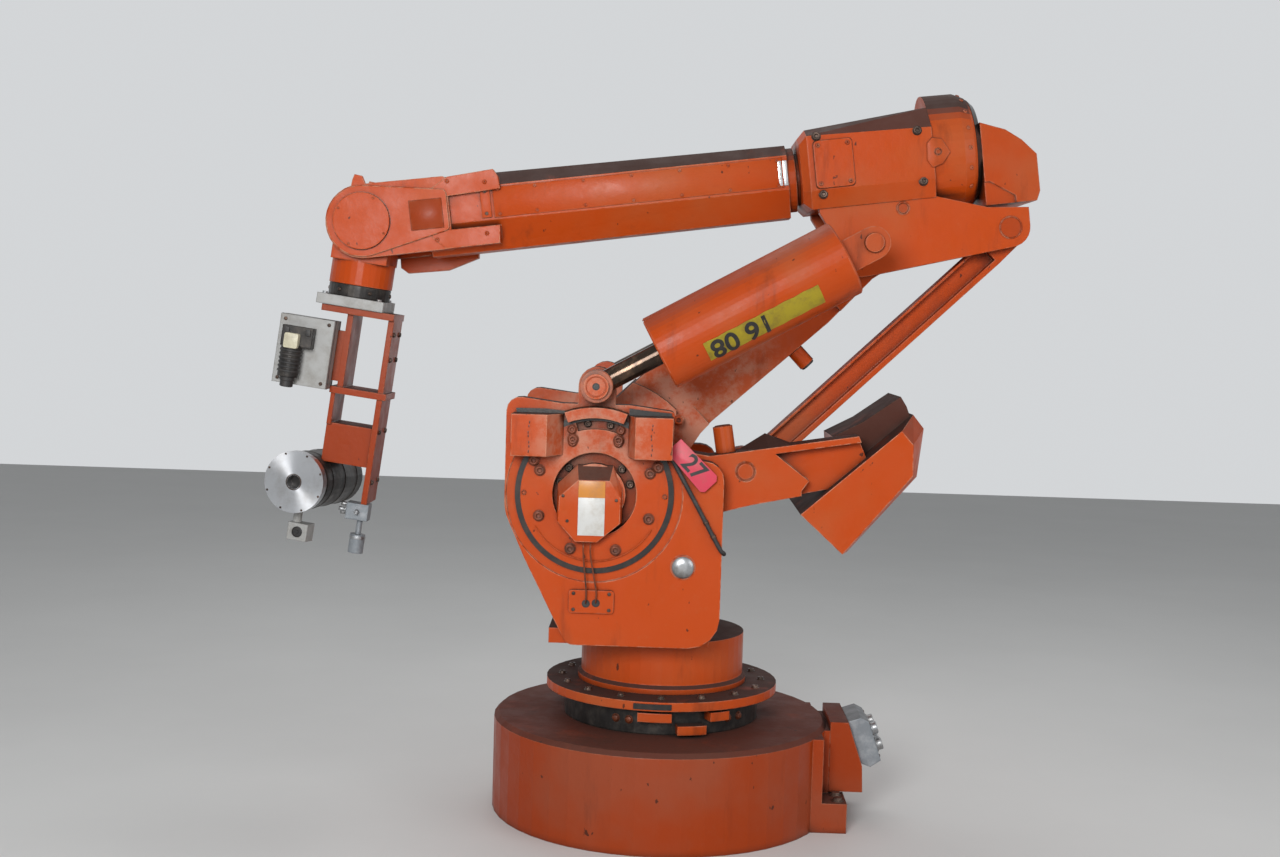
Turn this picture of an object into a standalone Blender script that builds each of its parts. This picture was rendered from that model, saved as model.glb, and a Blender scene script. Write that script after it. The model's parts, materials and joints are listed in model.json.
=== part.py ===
"""A six-axis industrial robot arm with a parallelogram linkage, two balancing cylinders and a hanging tool.

Units are metres and degrees. +Z is up along the first axis, +X is the way the arm reaches and +Y is its left.
The origin is on the floor under the first axis. Each moving link has an empty on its joint, turned about Y, and
the link's pieces are modelled in that empty's axes.
"""

from math import acos, atan2, cos, degrees, hypot, pi, radians, sin, sqrt

import bmesh
import bpy
from mathutils import Matrix, Vector

# Joint centres and rest angles
SHOULDER_X = 0.188  # second axis ahead of the first
SHOULDER_Z = 0.900
LOWER_LENGTH = 0.950  # second axis to third
LOWER_LEAN = 46.0  # lower arm leans back from upright
UPPER_DROP = 7.5  # upper arm points down below level
FORE_RAISE = 0.206  # fourth axis above the third
FORE_REACH = 1.319  # third axis to fifth, along the fourth
WRIST_BEND = 75.0  # sixth axis below the fourth
LEVER = 0.395  # both levers of the parallelogram
LEVER_RISE = 9.4  # levers rise to the rear
BALANCE_HEIGHT = 0.280  # balance pivot above the second axis

# Clearances
SEAT = 0.0003  # between pieces that touch
RUN = 0.006  # between pieces that move past each other
PIN_RUN = 0.0006  # round a pin
OVERRUN = 0.004  # a cutter past what it cuts

# How finely round work is divided
FINE = 48
ROUND = 32
SMALL = 20

# Fixed base
BASE_R = 0.462
BASE_H = 0.264
BASE_EDGE = 0.012
BASE_REAR = 0.437  # rear block, behind the first axis
BASE_REAR_HALF = 0.215
BASE_NECK_PROUD = 0.0012  # narrower block that carries the connector box, past the round casting
FOOT_REACH = 0.504
FOOT_IN = 0.100
FOOT_H = 0.080
BOX_HALF = 0.115
BOX_LOW = 0.085
BOX_TOP = 0.276
BOX_SHOULDER = 0.049  # behind the narrower block, where the sloping back starts at the top
BOX_BREAK_X = 0.090  # where the slope turns upright
BOX_BREAK_Z = 0.157
BOX_BACK = 0.093
PANEL_START = 0.005  # down the slope
PANEL_LONG = 0.143
PANEL_THICK = 0.055
PANEL_HALF = 0.085
PANEL_BEVEL = 0.018
PANEL_SKIRT = 0.022  # thickness left at the bevelled lower edge

# First axis
DRUM_R = 0.268
DRUM_TOP = 0.332
DRUM_STEP_R = 0.250
STOP_OUT = 0.305
STOP_H = 0.024
STOP_LOW = 0.272
STOP_HIGH = 0.305
STOP_TURNS = (("a", 87.0, 8.5, STOP_HIGH), ("b", 121.0, 5.5, STOP_HIGH), ("c", 106.0, 7.5, STOP_LOW))

# Turret
RING_R = 0.319
RING_LOW = 0.338
RING_H = 0.024
COLLAR_R = 0.233
COLLAR_TOP = 0.385
COLUMN_R = 0.224
COLUMN_TOP = 0.500
FLOOR_TOP = 0.540
FLOOR_REAR = 0.120
FLOOR_FRONT = 0.300
PLATE_IN = 0.270  # inner face of a side plate
PLATE_OUT = 0.330
PLATE_BOTTOM = 0.508
PLATE_REAR = 0.144
PLATE_SHOULDER = 0.094  # above the second axis, as are the heights down to the plug
PLATE_FRONT = 0.419
PLATE_TOP = 0.232
PLATE_HORN = 0.018  # front corner above the top
PLATE_DIP = 0.014  # rear corner below the top
PLATE_TOE_X = 0.250
PLATE_KNEE_X = 0.364
PLATE_KNEE_Z = -0.170
TOE_ROUND = 0.030
KNEE_ROUND = 0.120
HORN_ROUND = 0.035
CROWN_ROUND = 0.012
SHOULDER_ROUND = 0.050
HEEL_ROUND = 0.080
CROWN_REAR = 0.012  # crown starts behind the first axis
RECESS_R = 0.2275  # shallow ring round the bore
RECESS_DEEP = 0.004
BORE_R = 0.198
FLANGE_R = 0.193
FLANGE_RIM = 0.010  # depth of the open groove round the flange
FLANGE_FLOOR = 0.030  # motor seat, from the plate's inner face
MOTOR_BORE_R = 0.108
MOTOR_STUB_R = 0.080
MOTOR_R = 0.120
MOTOR_PROUD = 0.035
MOTOR_REAR_SHARES = (
    (0.37, 0.64), (0.79, 0.22), (0.79, -0.58), (0.37, -1.02), (-0.09, -1.02), (-0.60, -0.58), (-0.60, 0.22), (-0.39, 0.64),
)
MOTOR_FRONT_SHARES = (
    (0.33, 0.33), (0.73, -0.04), (0.75, -0.58), (0.37, -0.99), (-0.09, -0.99), (-0.57, -0.58), (-0.57, -0.04), (-0.33, 0.33),
)
EAR_R = 0.048
PIVOT_R = 0.024
PIVOT_CAP_R = 0.032
CAP_THICK = 0.014
PLUG_X = -0.045
PLUG_Z = -0.181
PLUG_R = 0.031
PLUG_DISH_R = 0.023
PLUG_PROUD = 0.004
PLUG_DEEP = 0.003

# Crown bracket, arc slot and stop blocks on a side plate
CROWN_THICK = 0.030
CROWN_HALF = 0.088
CROWN_HIGH = 0.225
CROWN_TURN = 21.0  # either side of upright
SLOT_IN = 0.168
SLOT_DEEP = 0.018
SLOT_FIRST = 74.0
SLOT_LAST = 110.5
BLOCK_THICK = 0.080
BLOCK_LOW = 0.100
BLOCK_H = 0.106
BLOCK_NOSE = 0.271  # a block's sloping end starts here and its outer face here
BLOCK_FACE = 0.309
BLOCK_FAR = 0.399
REAR_BLOCK_NOSE = 0.105
REAR_BLOCK_FACE = 0.086
REAR_BLOCK_FAR = -0.009
CABLE_PLATE_HALF = 0.058
CABLE_PLATE_SHARE = 0.70  # up from the side plate's foot to the ring round its bore
CABLE_PLATE_H = 0.060
CABLE_PLATE_THICK = 0.008
CABLE_PLATE_ROUND = 0.008

# Lower arm, in its own axes: x to its front, z along it
HUB_R = 0.155
SHAFT_R = 0.060
THICK_R = 0.296  # its thick lower part ends in this arc round the hub
THICK_CORNER = 0.020
THICK_NEAR = 0.140
THICK_FAR = 0.190
THICK_PROUD = 0.003
ARM_HALF = 0.100
ARM_BACK = 0.078
ARM_BACK_AT = 0.343
ARM_BACK_TOP = 0.092
ARM_BACK_TOP_AT = 0.757
ARM_BACK_LOW = 0.118
ARM_FLARE_AT = 0.300
ARM_FRONT = 0.105
ARM_FRONT_AT = 0.805
ARM_FRONT_LOW = 0.140
ELBOW_R = 0.088
ELBOW_PIN_R = 0.034
CREASE_X = -0.009  # behind it the side faces slope in
CREASE_DROP = 0.022
CREASE_LOW = 0.335
CREASE_HIGH = 0.800
BUMPER_R = 0.022
BUMPER_AT = 0.640
BUMPER_Y = 0.052
BUMPER_LONG = 0.050

# Balancing cylinders
CAN_Y = 0.366
CAN_R = 0.098
CAN_WALL = 0.006
CAN_TOP_GAP = 0.078  # from the third axis to the can's top
CAN_CAP = 0.014
CAN_RIM = 0.004
ROD_R = 0.028
ROD_SHOWN = 0.178  # from the rod's pivot to the can
ROD_INSIDE = 0.190
EYE_HALF = 0.030
EYE_R = 0.042
TRUNNION_R = 0.024

# Parallel arm, in its own axes: -x to the rear; one lever, beside the lower arm on the left
LEVER_IN = 0.146
LEVER_OUT = 0.250
LEVER_HUB_R = 0.150
LEVER_HUB_TURN = 125.0
LEVER_TOP = 0.052
LEVER_TOP_FRONT = 0.308
LEVER_LOW = 0.090
LEVER_LOW_REAR = 0.080
LEVER_REAR = 0.700
LINK_PIN_R = 0.026
LINK_CAP_R = 0.0205
LINK_CAP = 0.004
LINK_EYE_R = 0.052
STOP_PIN_AT = 0.352
STOP_PIN_R = 0.026
STOP_PIN_TOP = 0.122
STOP_PIN_Y = 0.200
RIB_START = 0.385
RIB_PEAK = 0.463
RIB_END = 0.530
RIB_RISE = 0.033
POCKET_DEEP = 0.045
POCKET_TOP = 0.035
POCKET_POINTS = ((0.478, POCKET_TOP), (0.556, -0.047), (0.533, -0.071), (0.518, -0.180), (0.820, -0.180), (0.820, POCKET_TOP))

# Counterweight, in the parallel arm's axes: it is bolted to the arm's sloping rear face
WEIGHT_X = -0.523
WEIGHT_Z = -0.132
WEIGHT_SLOPE = 147.8
WEIGHT_FACE = 0.342  # along the slope, at the ends
WEIGHT_FACE_MID = 0.400
WEIGHT_HALF = 0.245
WEIGHT_MID = 0.140
WEIGHT_DEEP = 0.151  # across the slope at the ends
WEIGHT_DEEP_MID = 0.172
WEIGHT_SHARES = ((0.0, 0.0), (1.0, 0.0), (1.0, 0.318), (0.845, 0.728), (0.050, 1.0))
WEIGHT_MID_SHARES = ((0.0, 0.0), (1.0, 0.0), (0.995, 0.273), (0.755, 0.782), (0.075, 1.0))
CREST_HALF = 0.125
CREST_SHARES = ((0.30, -0.20), (0.496, 0.90), (0.719, 0.682), (1.016, 0.56), (1.004, 0.26), (0.97, -0.10), (0.60, -0.60))

# Parallel rod
ROD_NEAR = 0.100
ROD_FAR = 0.030
ROD_BACK = 0.0556
ROD_FRONT = 0.0157
ROD_TAPER = 0.080
ROD_WEB = 0.008
ROD_RIM_BACK = 0.015
ROD_RIM_FRONT = 0.006

# Upper arm housing, in its own axes: x forward, z up from the third axis
HOUSE_FRONT = 0.142
HOUSE_NOSE = 0.020
HOUSE_REAR = 0.206
HOUSE_ROOF_FRONT = 0.325
HOUSE_ROOF_REAR = 0.352
HOUSE_SIDE_FRONT = 0.304
HOUSE_SIDE_REAR = 0.295
HOUSE_SIDE_LOW = 0.160
HOUSE_LOW = 0.112
HOUSE_HALF = 0.165
HOUSE_FLOOR_HALF = 0.146
HOUSE_ROOF_HALF = 0.110
RING2_R = 0.162
RING2_Z = 0.232
RING2_REAR = 0.340
RING2_PROFILE_SHARES = ((1.0, 0.0), (0.99, 0.63), (0.91, 0.84), (0.78, 1.0))
COVER_LONG = 0.144
COVER_LOW = 0.078
COVER_HIGH = 0.219
COVER_HALF = 0.125
COVER_SHARES = (
    (0.0, 1.0), (0.458, 0.886), (0.743, 0.744), (0.993, 0.557), (1.0, 0.114), (0.93, 0.0), (0.0, 0.0),
)
COVER_FACET_SHARES = ((-0.1, 0.283), (0.10, 0.283), (0.542, 0.087), (0.56, -0.1), (-0.1, -0.1))
COVER_FACET = 0.006
CHEEK_IN = 0.106
CHEEK_OUT = 0.142
CHEEK_FRONT = 0.103
CHEEK_CHIN = 0.088
CHEEK_CHIN_Z = 0.071
CHEEK_FRONT_Z = 0.101
BOSS_R = 0.078
LUG_R = 0.052
LUG_TOP = 0.062
NECK_R = 0.070
NECK_DEEP = 0.045
HATCH_REAR = 0.005
HATCH_FRONT = 0.107
HATCH_LOW = 0.164
HATCH_HIGH = 0.288
HATCH_THICK = 0.006
HATCH_ROUND = 0.012

# Forearm, in axes on the fourth axis: x forward from the third axis
FORE_REAR = 0.151
FORE_NECK = 0.021
FORE_TOP_REAR = 0.091
FORE_TOP = 0.101
FORE_LOW_REAR = 0.104
FORE_LOW = 0.111
FORE_CREASE_TOP = 0.061
FORE_CREASE_LOW = 0.030
FORE_WIDE_REAR = 0.090
FORE_WIDE = 0.104
FORK_DEEP = 0.170  # from the fork's floor to the fifth axis
FORK_IN = 0.092
FORK_SIDE = 0.1175  # faces of the fork, and its raised plates
FORK_OUT = 0.125
FORK_HIGH = 0.085
FORK_ROOT = 0.050  # behind the fork's floor
FORK_ROOT_HIGH = 0.050
FORK_ROOT_LOW = 0.036
FORK_ROOT_R = 0.012
WRIST_R = 0.0985
WRIST_CAP_R = 0.076
WRIST_CAP = 0.010
WRIST_PIN_R = 0.035
WRIST_PIN_END = 0.112
POD_IN = 0.070
POD_OUT = 0.119
# The next four outlines are measured from the fifth axis
UPPER_POD = ((-0.185, 0.061), (-0.239, 0.094), (-0.363, 0.102), (-0.374, 0.082), (-0.377, 0.049), (-0.190, 0.041))
LOWER_POD = ((-0.184, -0.063), (-0.218, -0.096), (-0.362, -0.095), (-0.367, -0.047), (-0.186, -0.047))
FAIRING_IN = 0.100
FAIRING = ((-0.059, -0.050), (-0.056, -0.124), (-0.075, -0.141), (-0.188, -0.144), (-0.277, -0.119), (-0.289, -0.030))
LUG4 = ((0.021, 0.090), (0.014, 0.112), (0.006, 0.126), (-0.013, 0.120), (-0.021, 0.090))
LUG4_IN = 0.100
LUG4_OUT = 0.118

# Wrist, in axes on the fifth axis: x out along the sixth axis, z to the tool's front
TILT_HALF = 0.086
TILT_R = 0.084
TILT_NECK = 0.076
DRUM6_R = 0.086
DRUM6_IN = 0.104
DRUM6_OUT = 0.172
SPIGOT_R = 0.050
SPIGOT_DEEP = 0.020

# Tool, in axes on the sixth axis
FLANGE6_R = 0.084
FLANGE6_OUT = 0.2057
ADAPTER_THICK = 0.028
ADAPTER_FRONT = 0.096
ADAPTER_BACK = 0.086
ADAPTER_HALF = 0.092
MOUNT_THICK = 0.018
MOUNT_FRONT = 0.080
MOUNT_HALF = 0.085
BACK_PLATE = 0.118  # rear face of the long plate, behind the axis
BACK_PLATE_THICK = 0.016
BACK_PLATE_END = 0.760
BACK_PLATE_HALF = 0.070
FRONT_PLATE_LOW = -0.006
FRONT_PLATE_HIGH = 0.010
CROSS_AT = 0.452
CROSS_THICK = 0.018
CROSS_BACK = 0.127
CROSS_FRONT = 0.028
CROSS_HALF = 0.075
LEG_LOW = 0.012
LEG_HIGH = 0.024
SADDLE_AT = 0.552
SADDLE_END = 0.660
SADDLE_FRONT = 0.025
SADDLE_HALF = 0.060
JBOX_NEAR = 0.276
JBOX_FAR = 0.461
JBOX_LOW = 0.029
JBOX_HIGH = 0.175
JBOX_IN = 0.045
JBOX_OUT = 0.130
JBOX_FOOT = 0.024
PLUG6_NEAR = 0.304
PLUG6_FAR = 0.359
PLUG6_LOW = 0.075
PLUG6_HIGH = 0.158
PLUG6_THICK = 0.035
GLAND_R = 0.0275
GLAND_END = 0.440
GLAND_Z = 0.128
GLAND_OUT = 0.158
SPINDLE_AT = 0.723
SPINDLE_FRONT = 0.057
SPINDLE_TWIST = 10.0
SPINDLE_R = 0.080
SPINDLE_NEAR = 0.095
SPINDLE_FAR = 0.190
DISC_R = 0.0845
DISC_THICK = 0.026
DISC_HOLE_R = 0.019
SOCKET_NECK_R = 0.012
SOCKET_NEAR = 0.115  # from the spindle's axis
SOCKET_FAR = 0.163
SOCKET_LOW = -0.042
SOCKET_HIGH = 0.015
SOCKET_Y = 0.055
SOCKET_HALF = 0.024
VALVE_LOW = -0.125
VALVE_HIGH = -0.064
VALVE_LONG = 0.045
VALVE_Y = 0.045
VALVE_HALF = 0.025
FILTER_NECK_R = 0.008
FILTER_R = 0.021
FILTER_AT = 0.846
FILTER_END = 0.898

ORANGE = (0.78, 0.22, 0.06)
DARK = (0.06, 0.06, 0.065)
STEEL = (0.50, 0.50, 0.52)
PALE = (0.75, 0.75, 0.72)
GREY = (0.45, 0.47, 0.48)

materials = {}


def material(name, colour, metallic=0.0, roughness=0.5):
    """One Principled material, made once."""
    if name not in materials:
        made = bpy.data.materials.new(name)
        made.use_nodes = True
        shader = made.node_tree.nodes["Principled BSDF"]
        shader.inputs["Base Color"].default_value = (*colour, 1.0)
        shader.inputs["Metallic"].default_value = metallic
        shader.inputs["Roughness"].default_value = roughness
        materials[name] = made
    return materials[name]


def frame(name, parent, place, turn=0.0, twist=0.0):
    """An empty on a joint, turned about Y so that +X drops by the angle, or twisted about X."""
    empty = bpy.data.objects.new(name, None)
    bpy.context.scene.collection.objects.link(empty)
    empty.parent = parent
    empty.location = place
    empty.rotation_euler = (radians(twist), radians(turn), 0.0)
    return empty


def piece(name, mesh, parent, finish):
    """One object of its own, in its parent's axes."""
    data = bpy.data.meshes.new(name)
    bmesh.ops.recalc_face_normals(mesh, faces=mesh.faces)
    mesh.to_mesh(data)
    mesh.free()
    data.materials.append(finish)
    data.shade_smooth()
    data.set_sharp_from_angle(angle=radians(30))
    made = bpy.data.objects.new(name, data)
    bpy.context.scene.collection.objects.link(made)
    made.parent = parent
    return made


def combine(target, mesh, operation):
    """Adds or cuts a helper shape with a Boolean that stays on the target."""
    count = len(target.modifiers) + 1
    name = f"{target.name}_{operation.lower()}_{count}"
    helper = piece(name, mesh, target.parent, target.data.materials[0])
    helper.hide_render = True
    helper.display_type = "WIRE"
    modifier = target.modifiers.new(name, "BOOLEAN")
    modifier.operation = operation
    modifier.object = helper


def add(target, mesh):
    combine(target, mesh, "UNION")


def cut(target, mesh):
    combine(target, mesh, "DIFFERENCE")


def loft(rings):
    """A closed solid through rings of as many points each, capped at both ends."""
    mesh = bmesh.new()
    rows = [[mesh.verts.new(point) for point in ring] for ring in rings]
    count = len(rows[0])
    for low, high in zip(rows, rows[1:]):
        for i in range(count):
            j = (i + 1) % count
            mesh.faces.new((low[i], low[j], high[j], high[i]))
    mesh.faces.new(rows[0])
    mesh.faces.new(rows[-1])
    return mesh


def placed(axis, across, up, along):
    """A point from its place in the plane across an axis and its place along it."""
    return {"X": (along, across, up), "Y": (across, along, up), "Z": (across, up, along)}[axis]


def prism(outline, low, high, axis="Y"):
    """An outline pushed along an axis: (x, z) along Y, (y, z) along X, (x, y) along Z."""
    return loft([[placed(axis, a, b, at) for a, b in outline] for at in (low, high)])


def turned(profile, axis="Y", centre=(0.0, 0.0), steps=ROUND):
    """A round solid: profile holds (radius, place along the axis) pairs."""
    rings = []
    for radius, at in profile:
        rings.append(
            [placed(axis, centre[0] + radius * cos(turn), centre[1] + radius * sin(turn), at)
             for turn in (2 * pi * i / steps for i in range(steps))]
        )
    return loft(rings)


def disc(radius, low, high, axis="Y", centre=(0.0, 0.0), steps=ROUND):
    return turned([(radius, low), (radius, high)], axis, centre, steps)


def box(low, high):
    return prism([(low[0], low[1]), (high[0], low[1]), (high[0], high[1]), (low[0], high[1])], low[2], high[2], "Z")


def arc(centre, radius, start, end, steps):
    """Points on an arc from one angle to another, both included."""
    turns = [radians(start + (end - start) * i / steps) for i in range(steps + 1)]
    return [(centre[0] + radius * cos(turn), centre[1] + radius * sin(turn)) for turn in turns]


def rounded(corners, steps=4):
    """An outline whose (x, z, radius) corners are rounded where the radius isn't zero."""
    outline = []
    count = len(corners)
    for i, (x, z, radius) in enumerate(corners):
        here = Vector((x, z))
        if radius == 0.0:
            outline.append((x, z))
            continue
        before = (Vector(corners[i - 1][:2]) - here).normalized()
        after = (Vector(corners[(i + 1) % count][:2]) - here).normalized()
        half = acos(max(-1.0, min(1.0, before.dot(after)))) / 2
        middle = here + (before + after).normalized() * radius / sin(half)
        first = here + before * radius / (sin(half) / cos(half))
        last = here + after * radius / (sin(half) / cos(half))
        start = atan2(first.y - middle.y, first.x - middle.x)
        sweep = atan2(last.y - middle.y, last.x - middle.x) - start
        sweep = (sweep + pi) % (2 * pi) - pi
        for k in range(steps + 1):
            turn = start + sweep * k / steps
            outline.append((middle.x + radius * cos(turn), middle.y + radius * sin(turn)))
    return outline


def hull_outline(circles, steps=SMALL):
    """The outline of a strap stretched round circles given as (x, z, radius)."""
    points = []
    for x, z, radius in circles:
        points += [(x + radius * cos(2 * pi * i / steps), z + radius * sin(2 * pi * i / steps)) for i in range(steps)]
    points = sorted(set((round(a, 7), round(b, 7)) for a, b in points))

    def chain(source):
        kept = []
        for point in source:
            while len(kept) > 1:
                (ax, az), (bx, bz) = kept[-2], kept[-1]
                if (bx - ax) * (point[1] - az) - (bz - az) * (point[0] - ax) > 0:
                    break
                kept.pop()
            kept.append(point)
        return kept[:-1]

    return chain(points) + chain(points[::-1])


def mirrored(outline_low, outline_high, side):
    """Two places along Y, lowest first, on the left (1) or the right (-1)."""
    ends = sorted((side * outline_low, side * outline_high))
    return ends[0], ends[1]


def base(orange, dark, grey):
    """The casting on the floor, its connector box and the first axis's drum and stops."""
    round_part = turned([(BASE_R, 0.0), (BASE_R, BASE_H - BASE_EDGE), (BASE_R - BASE_EDGE, BASE_H)], "Z", steps=FINE)
    casting = piece("base_casting", round_part, None, orange)
    neck = BASE_R + BASE_NECK_PROUD
    stepped = [
        (0.0, -BASE_REAR_HALF), (0.0, BASE_REAR_HALF), (-BASE_REAR, BASE_REAR_HALF), (-BASE_REAR, BOX_HALF),
        (-neck, BOX_HALF), (-neck, -BOX_HALF), (-BASE_REAR, -BOX_HALF), (-BASE_REAR, -BASE_REAR_HALF),
    ]
    add(casting, prism(stepped, 0.0, BASE_H - BASE_EDGE, "Z"))
    for side in (1, -1):
        low, high = mirrored(FOOT_IN, BASE_REAR_HALF, side)
        add(casting, box((-FOOT_REACH, low, 0.0), (-BASE_REAR + OVERRUN, high, FOOT_H)))

    rear = [
        (-neck - SEAT, BOX_LOW), (-neck - SEAT, BOX_TOP), (-neck - BOX_SHOULDER, BOX_TOP),
        (-neck - BOX_BREAK_X, BOX_BREAK_Z), (-neck - BOX_BACK, BOX_LOW),
    ]
    piece("connector_box", prism(rear, -BOX_HALF, BOX_HALF), None, orange)
    slope = Vector((BOX_SHOULDER - BOX_BREAK_X, BOX_BREAK_Z - BOX_TOP))
    along = slope.normalized()
    out = Vector((along.y, -along.x))
    panel = []
    for down, proud in (
        (PANEL_START, SEAT), (slope.length, SEAT), (PANEL_LONG, PANEL_SKIRT), (PANEL_LONG - PANEL_BEVEL / 2, PANEL_THICK),
        (PANEL_START + PANEL_BEVEL, PANEL_THICK), (PANEL_START, PANEL_THICK - PANEL_BEVEL),
    ):
        point = Vector((-neck - BOX_SHOULDER, BOX_TOP)) + along * down + out * proud
        panel.append((point.x, point.y))
    piece("connector_panel", prism(panel, -PANEL_HALF, PANEL_HALF), None, grey)

    drum = [(DRUM_R, BASE_H + SEAT), (DRUM_R, DRUM_TOP), (DRUM_STEP_R, DRUM_TOP), (DRUM_STEP_R, RING_LOW - PIN_RUN)]
    piece("bearing_drum", turned(drum, "Z", steps=FINE), None, dark)
    for letter, middle, half, low in STOP_TURNS:
        sweep = arc((0.0, 0.0), STOP_OUT, middle - half, middle + half, 4)
        sweep += arc((0.0, 0.0), DRUM_R + SEAT, middle + half, middle - half, 4)
        piece(f"axis_1_stop_{letter}", prism(sweep, low, low + STOP_H, "Z"), None, orange)


def side_plate_outline():
    x, z = SHOULDER_X, SHOULDER_Z
    return rounded([
        (PLATE_TOE_X, PLATE_BOTTOM, TOE_ROUND),
        (PLATE_KNEE_X, z + PLATE_KNEE_Z, KNEE_ROUND),
        (PLATE_FRONT, z - EAR_R, KNEE_ROUND),
        (PLATE_FRONT, z + PLATE_TOP + PLATE_HORN, HORN_ROUND),
        (x + CROWN_HALF, z + PLATE_TOP, 0.0),
        (x - CROWN_HALF, z + PLATE_TOP, 0.0),
        (-CROWN_REAR, z + PLATE_TOP - PLATE_DIP, CROWN_ROUND),
        (-CROWN_REAR, z + PLATE_SHOULDER, 0.0),
        (-PLATE_REAR, z + PLATE_SHOULDER, SHOULDER_ROUND),
        (-PLATE_REAR, PLATE_BOTTOM, HEEL_ROUND),
    ])


def side_plate(parent, word, side, orange):
    """A side of the turret: its bore, the shallow ring round it and the ear for the balance pivot."""
    centre = (SHOULDER_X, SHOULDER_Z)
    low, high = mirrored(PLATE_IN, PLATE_OUT, side)
    plate = piece(f"{word}_side_plate", prism(side_plate_outline(), low, high), parent, orange)
    ear = hull_outline([(SHOULDER_X, SHOULDER_Z + BALANCE_HEIGHT, EAR_R), (SHOULDER_X, SHOULDER_Z + PLATE_TOP - EAR_R, EAR_R)])
    add(plate, prism(ear, low, high))
    cut(plate, disc(BORE_R, low - OVERRUN, high + OVERRUN, centre=centre, steps=FINE))
    low, high = mirrored(PLATE_OUT - RECESS_DEEP, PLATE_OUT + OVERRUN, side)
    cut(plate, disc(RECESS_R, low, high, centre=centre, steps=FINE))
    low, high = mirrored(PLATE_OUT - PLUG_PROUD, PLATE_OUT + PLUG_PROUD, side)
    add(plate, disc(PLUG_R, low, high, centre=(PLUG_X, SHOULDER_Z + PLUG_Z)))
    low, high = mirrored(PLATE_OUT + PLUG_PROUD - PLUG_DEEP, PLATE_OUT + PLUG_PROUD + OVERRUN, side)
    cut(plate, disc(PLUG_DISH_R, low, high, centre=(PLUG_X, SHOULDER_Z + PLUG_Z)))


def drive(parent, word, side, orange):
    """A drive flange in the bore, with the arc slot under the crown, and the motor in its middle."""
    centre = (SHOULDER_X, SHOULDER_Z)
    rim = PLATE_OUT - FLANGE_RIM
    profile = [(BORE_R - SEAT, PLATE_IN), (BORE_R - SEAT, rim), (FLANGE_R, rim), (FLANGE_R, PLATE_OUT)]
    flange_shape = turned([(radius, side * at) for radius, at in profile], centre=centre, steps=FINE)
    flange = piece(f"{word}_drive_flange", flange_shape, parent, orange)
    low, high = mirrored(PLATE_IN + FLANGE_FLOOR, PLATE_OUT + OVERRUN, side)
    cut(flange, disc(MOTOR_BORE_R, low, high, centre=centre, steps=FINE))
    low, high = mirrored(PLATE_OUT - SLOT_DEEP, PLATE_OUT + OVERRUN, side)
    slot = arc(centre, BORE_R + OVERRUN, SLOT_FIRST, SLOT_LAST, 8) + arc(centre, SLOT_IN, SLOT_LAST, SLOT_FIRST, 8)
    cut(flange, prism(slot, low, high))

    rings = []
    for shares, at in ((MOTOR_REAR_SHARES, PLATE_OUT + SEAT), (MOTOR_FRONT_SHARES, PLATE_OUT + MOTOR_PROUD)):
        rings.append([(centre[0] + MOTOR_R * a, side * at, centre[1] + MOTOR_R * b) for a, b in shares])
    motor = piece(f"{word}_drive_motor", loft(rings), parent, orange)
    low, high = mirrored(PLATE_IN + FLANGE_FLOOR + SEAT, PLATE_OUT + OVERRUN, side)
    add(motor, disc(MOTOR_STUB_R, low, high, centre=centre))


def plate_fittings(parent, word, side, orange, steel):
    """The crown bracket, the stop blocks and the balance pivot on a side plate."""
    centre = (SHOULDER_X, SHOULDER_Z)
    low, high = mirrored(PLATE_OUT - RECESS_DEEP + SEAT, PLATE_OUT + CROWN_THICK, side)
    first, last = 90.0 - CROWN_TURN, 90.0 + CROWN_TURN
    outline = arc(centre, CROWN_HIGH, first, last, 8) + arc(centre, BORE_R, last, first, 8)
    piece(f"{word}_crown_bracket", prism(outline, low, high), parent, orange)

    low, high = side * (PLATE_OUT + SEAT), side * (PLATE_OUT + BLOCK_THICK)
    front = ("front", BLOCK_NOSE, BLOCK_FACE, BLOCK_FAR)
    rear = ("rear", REAR_BLOCK_NOSE, REAR_BLOCK_FACE, REAR_BLOCK_FAR)
    for end, nose, face, far in (front, rear):
        outline = [(far, low), (nose, low), (face, high), (far, high)]
        block = prism(outline, SHOULDER_Z + BLOCK_LOW, SHOULDER_Z + BLOCK_LOW + BLOCK_H, "Z")
        piece(f"{word}_{end}_stop_block", block, parent, orange)

    shoulder = CAN_Y + EYE_HALF + SEAT
    pin = [(PIVOT_R, PLATE_OUT + SEAT), (PIVOT_R, shoulder), (PIVOT_CAP_R, shoulder), (PIVOT_CAP_R, shoulder + CAP_THICK)]
    pivot = turned([(r, side * at) for r, at in pin], centre=(SHOULDER_X, SHOULDER_Z + BALANCE_HEIGHT), steps=SMALL)
    piece(f"{word}_balance_pivot", pivot, parent, steel)


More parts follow.
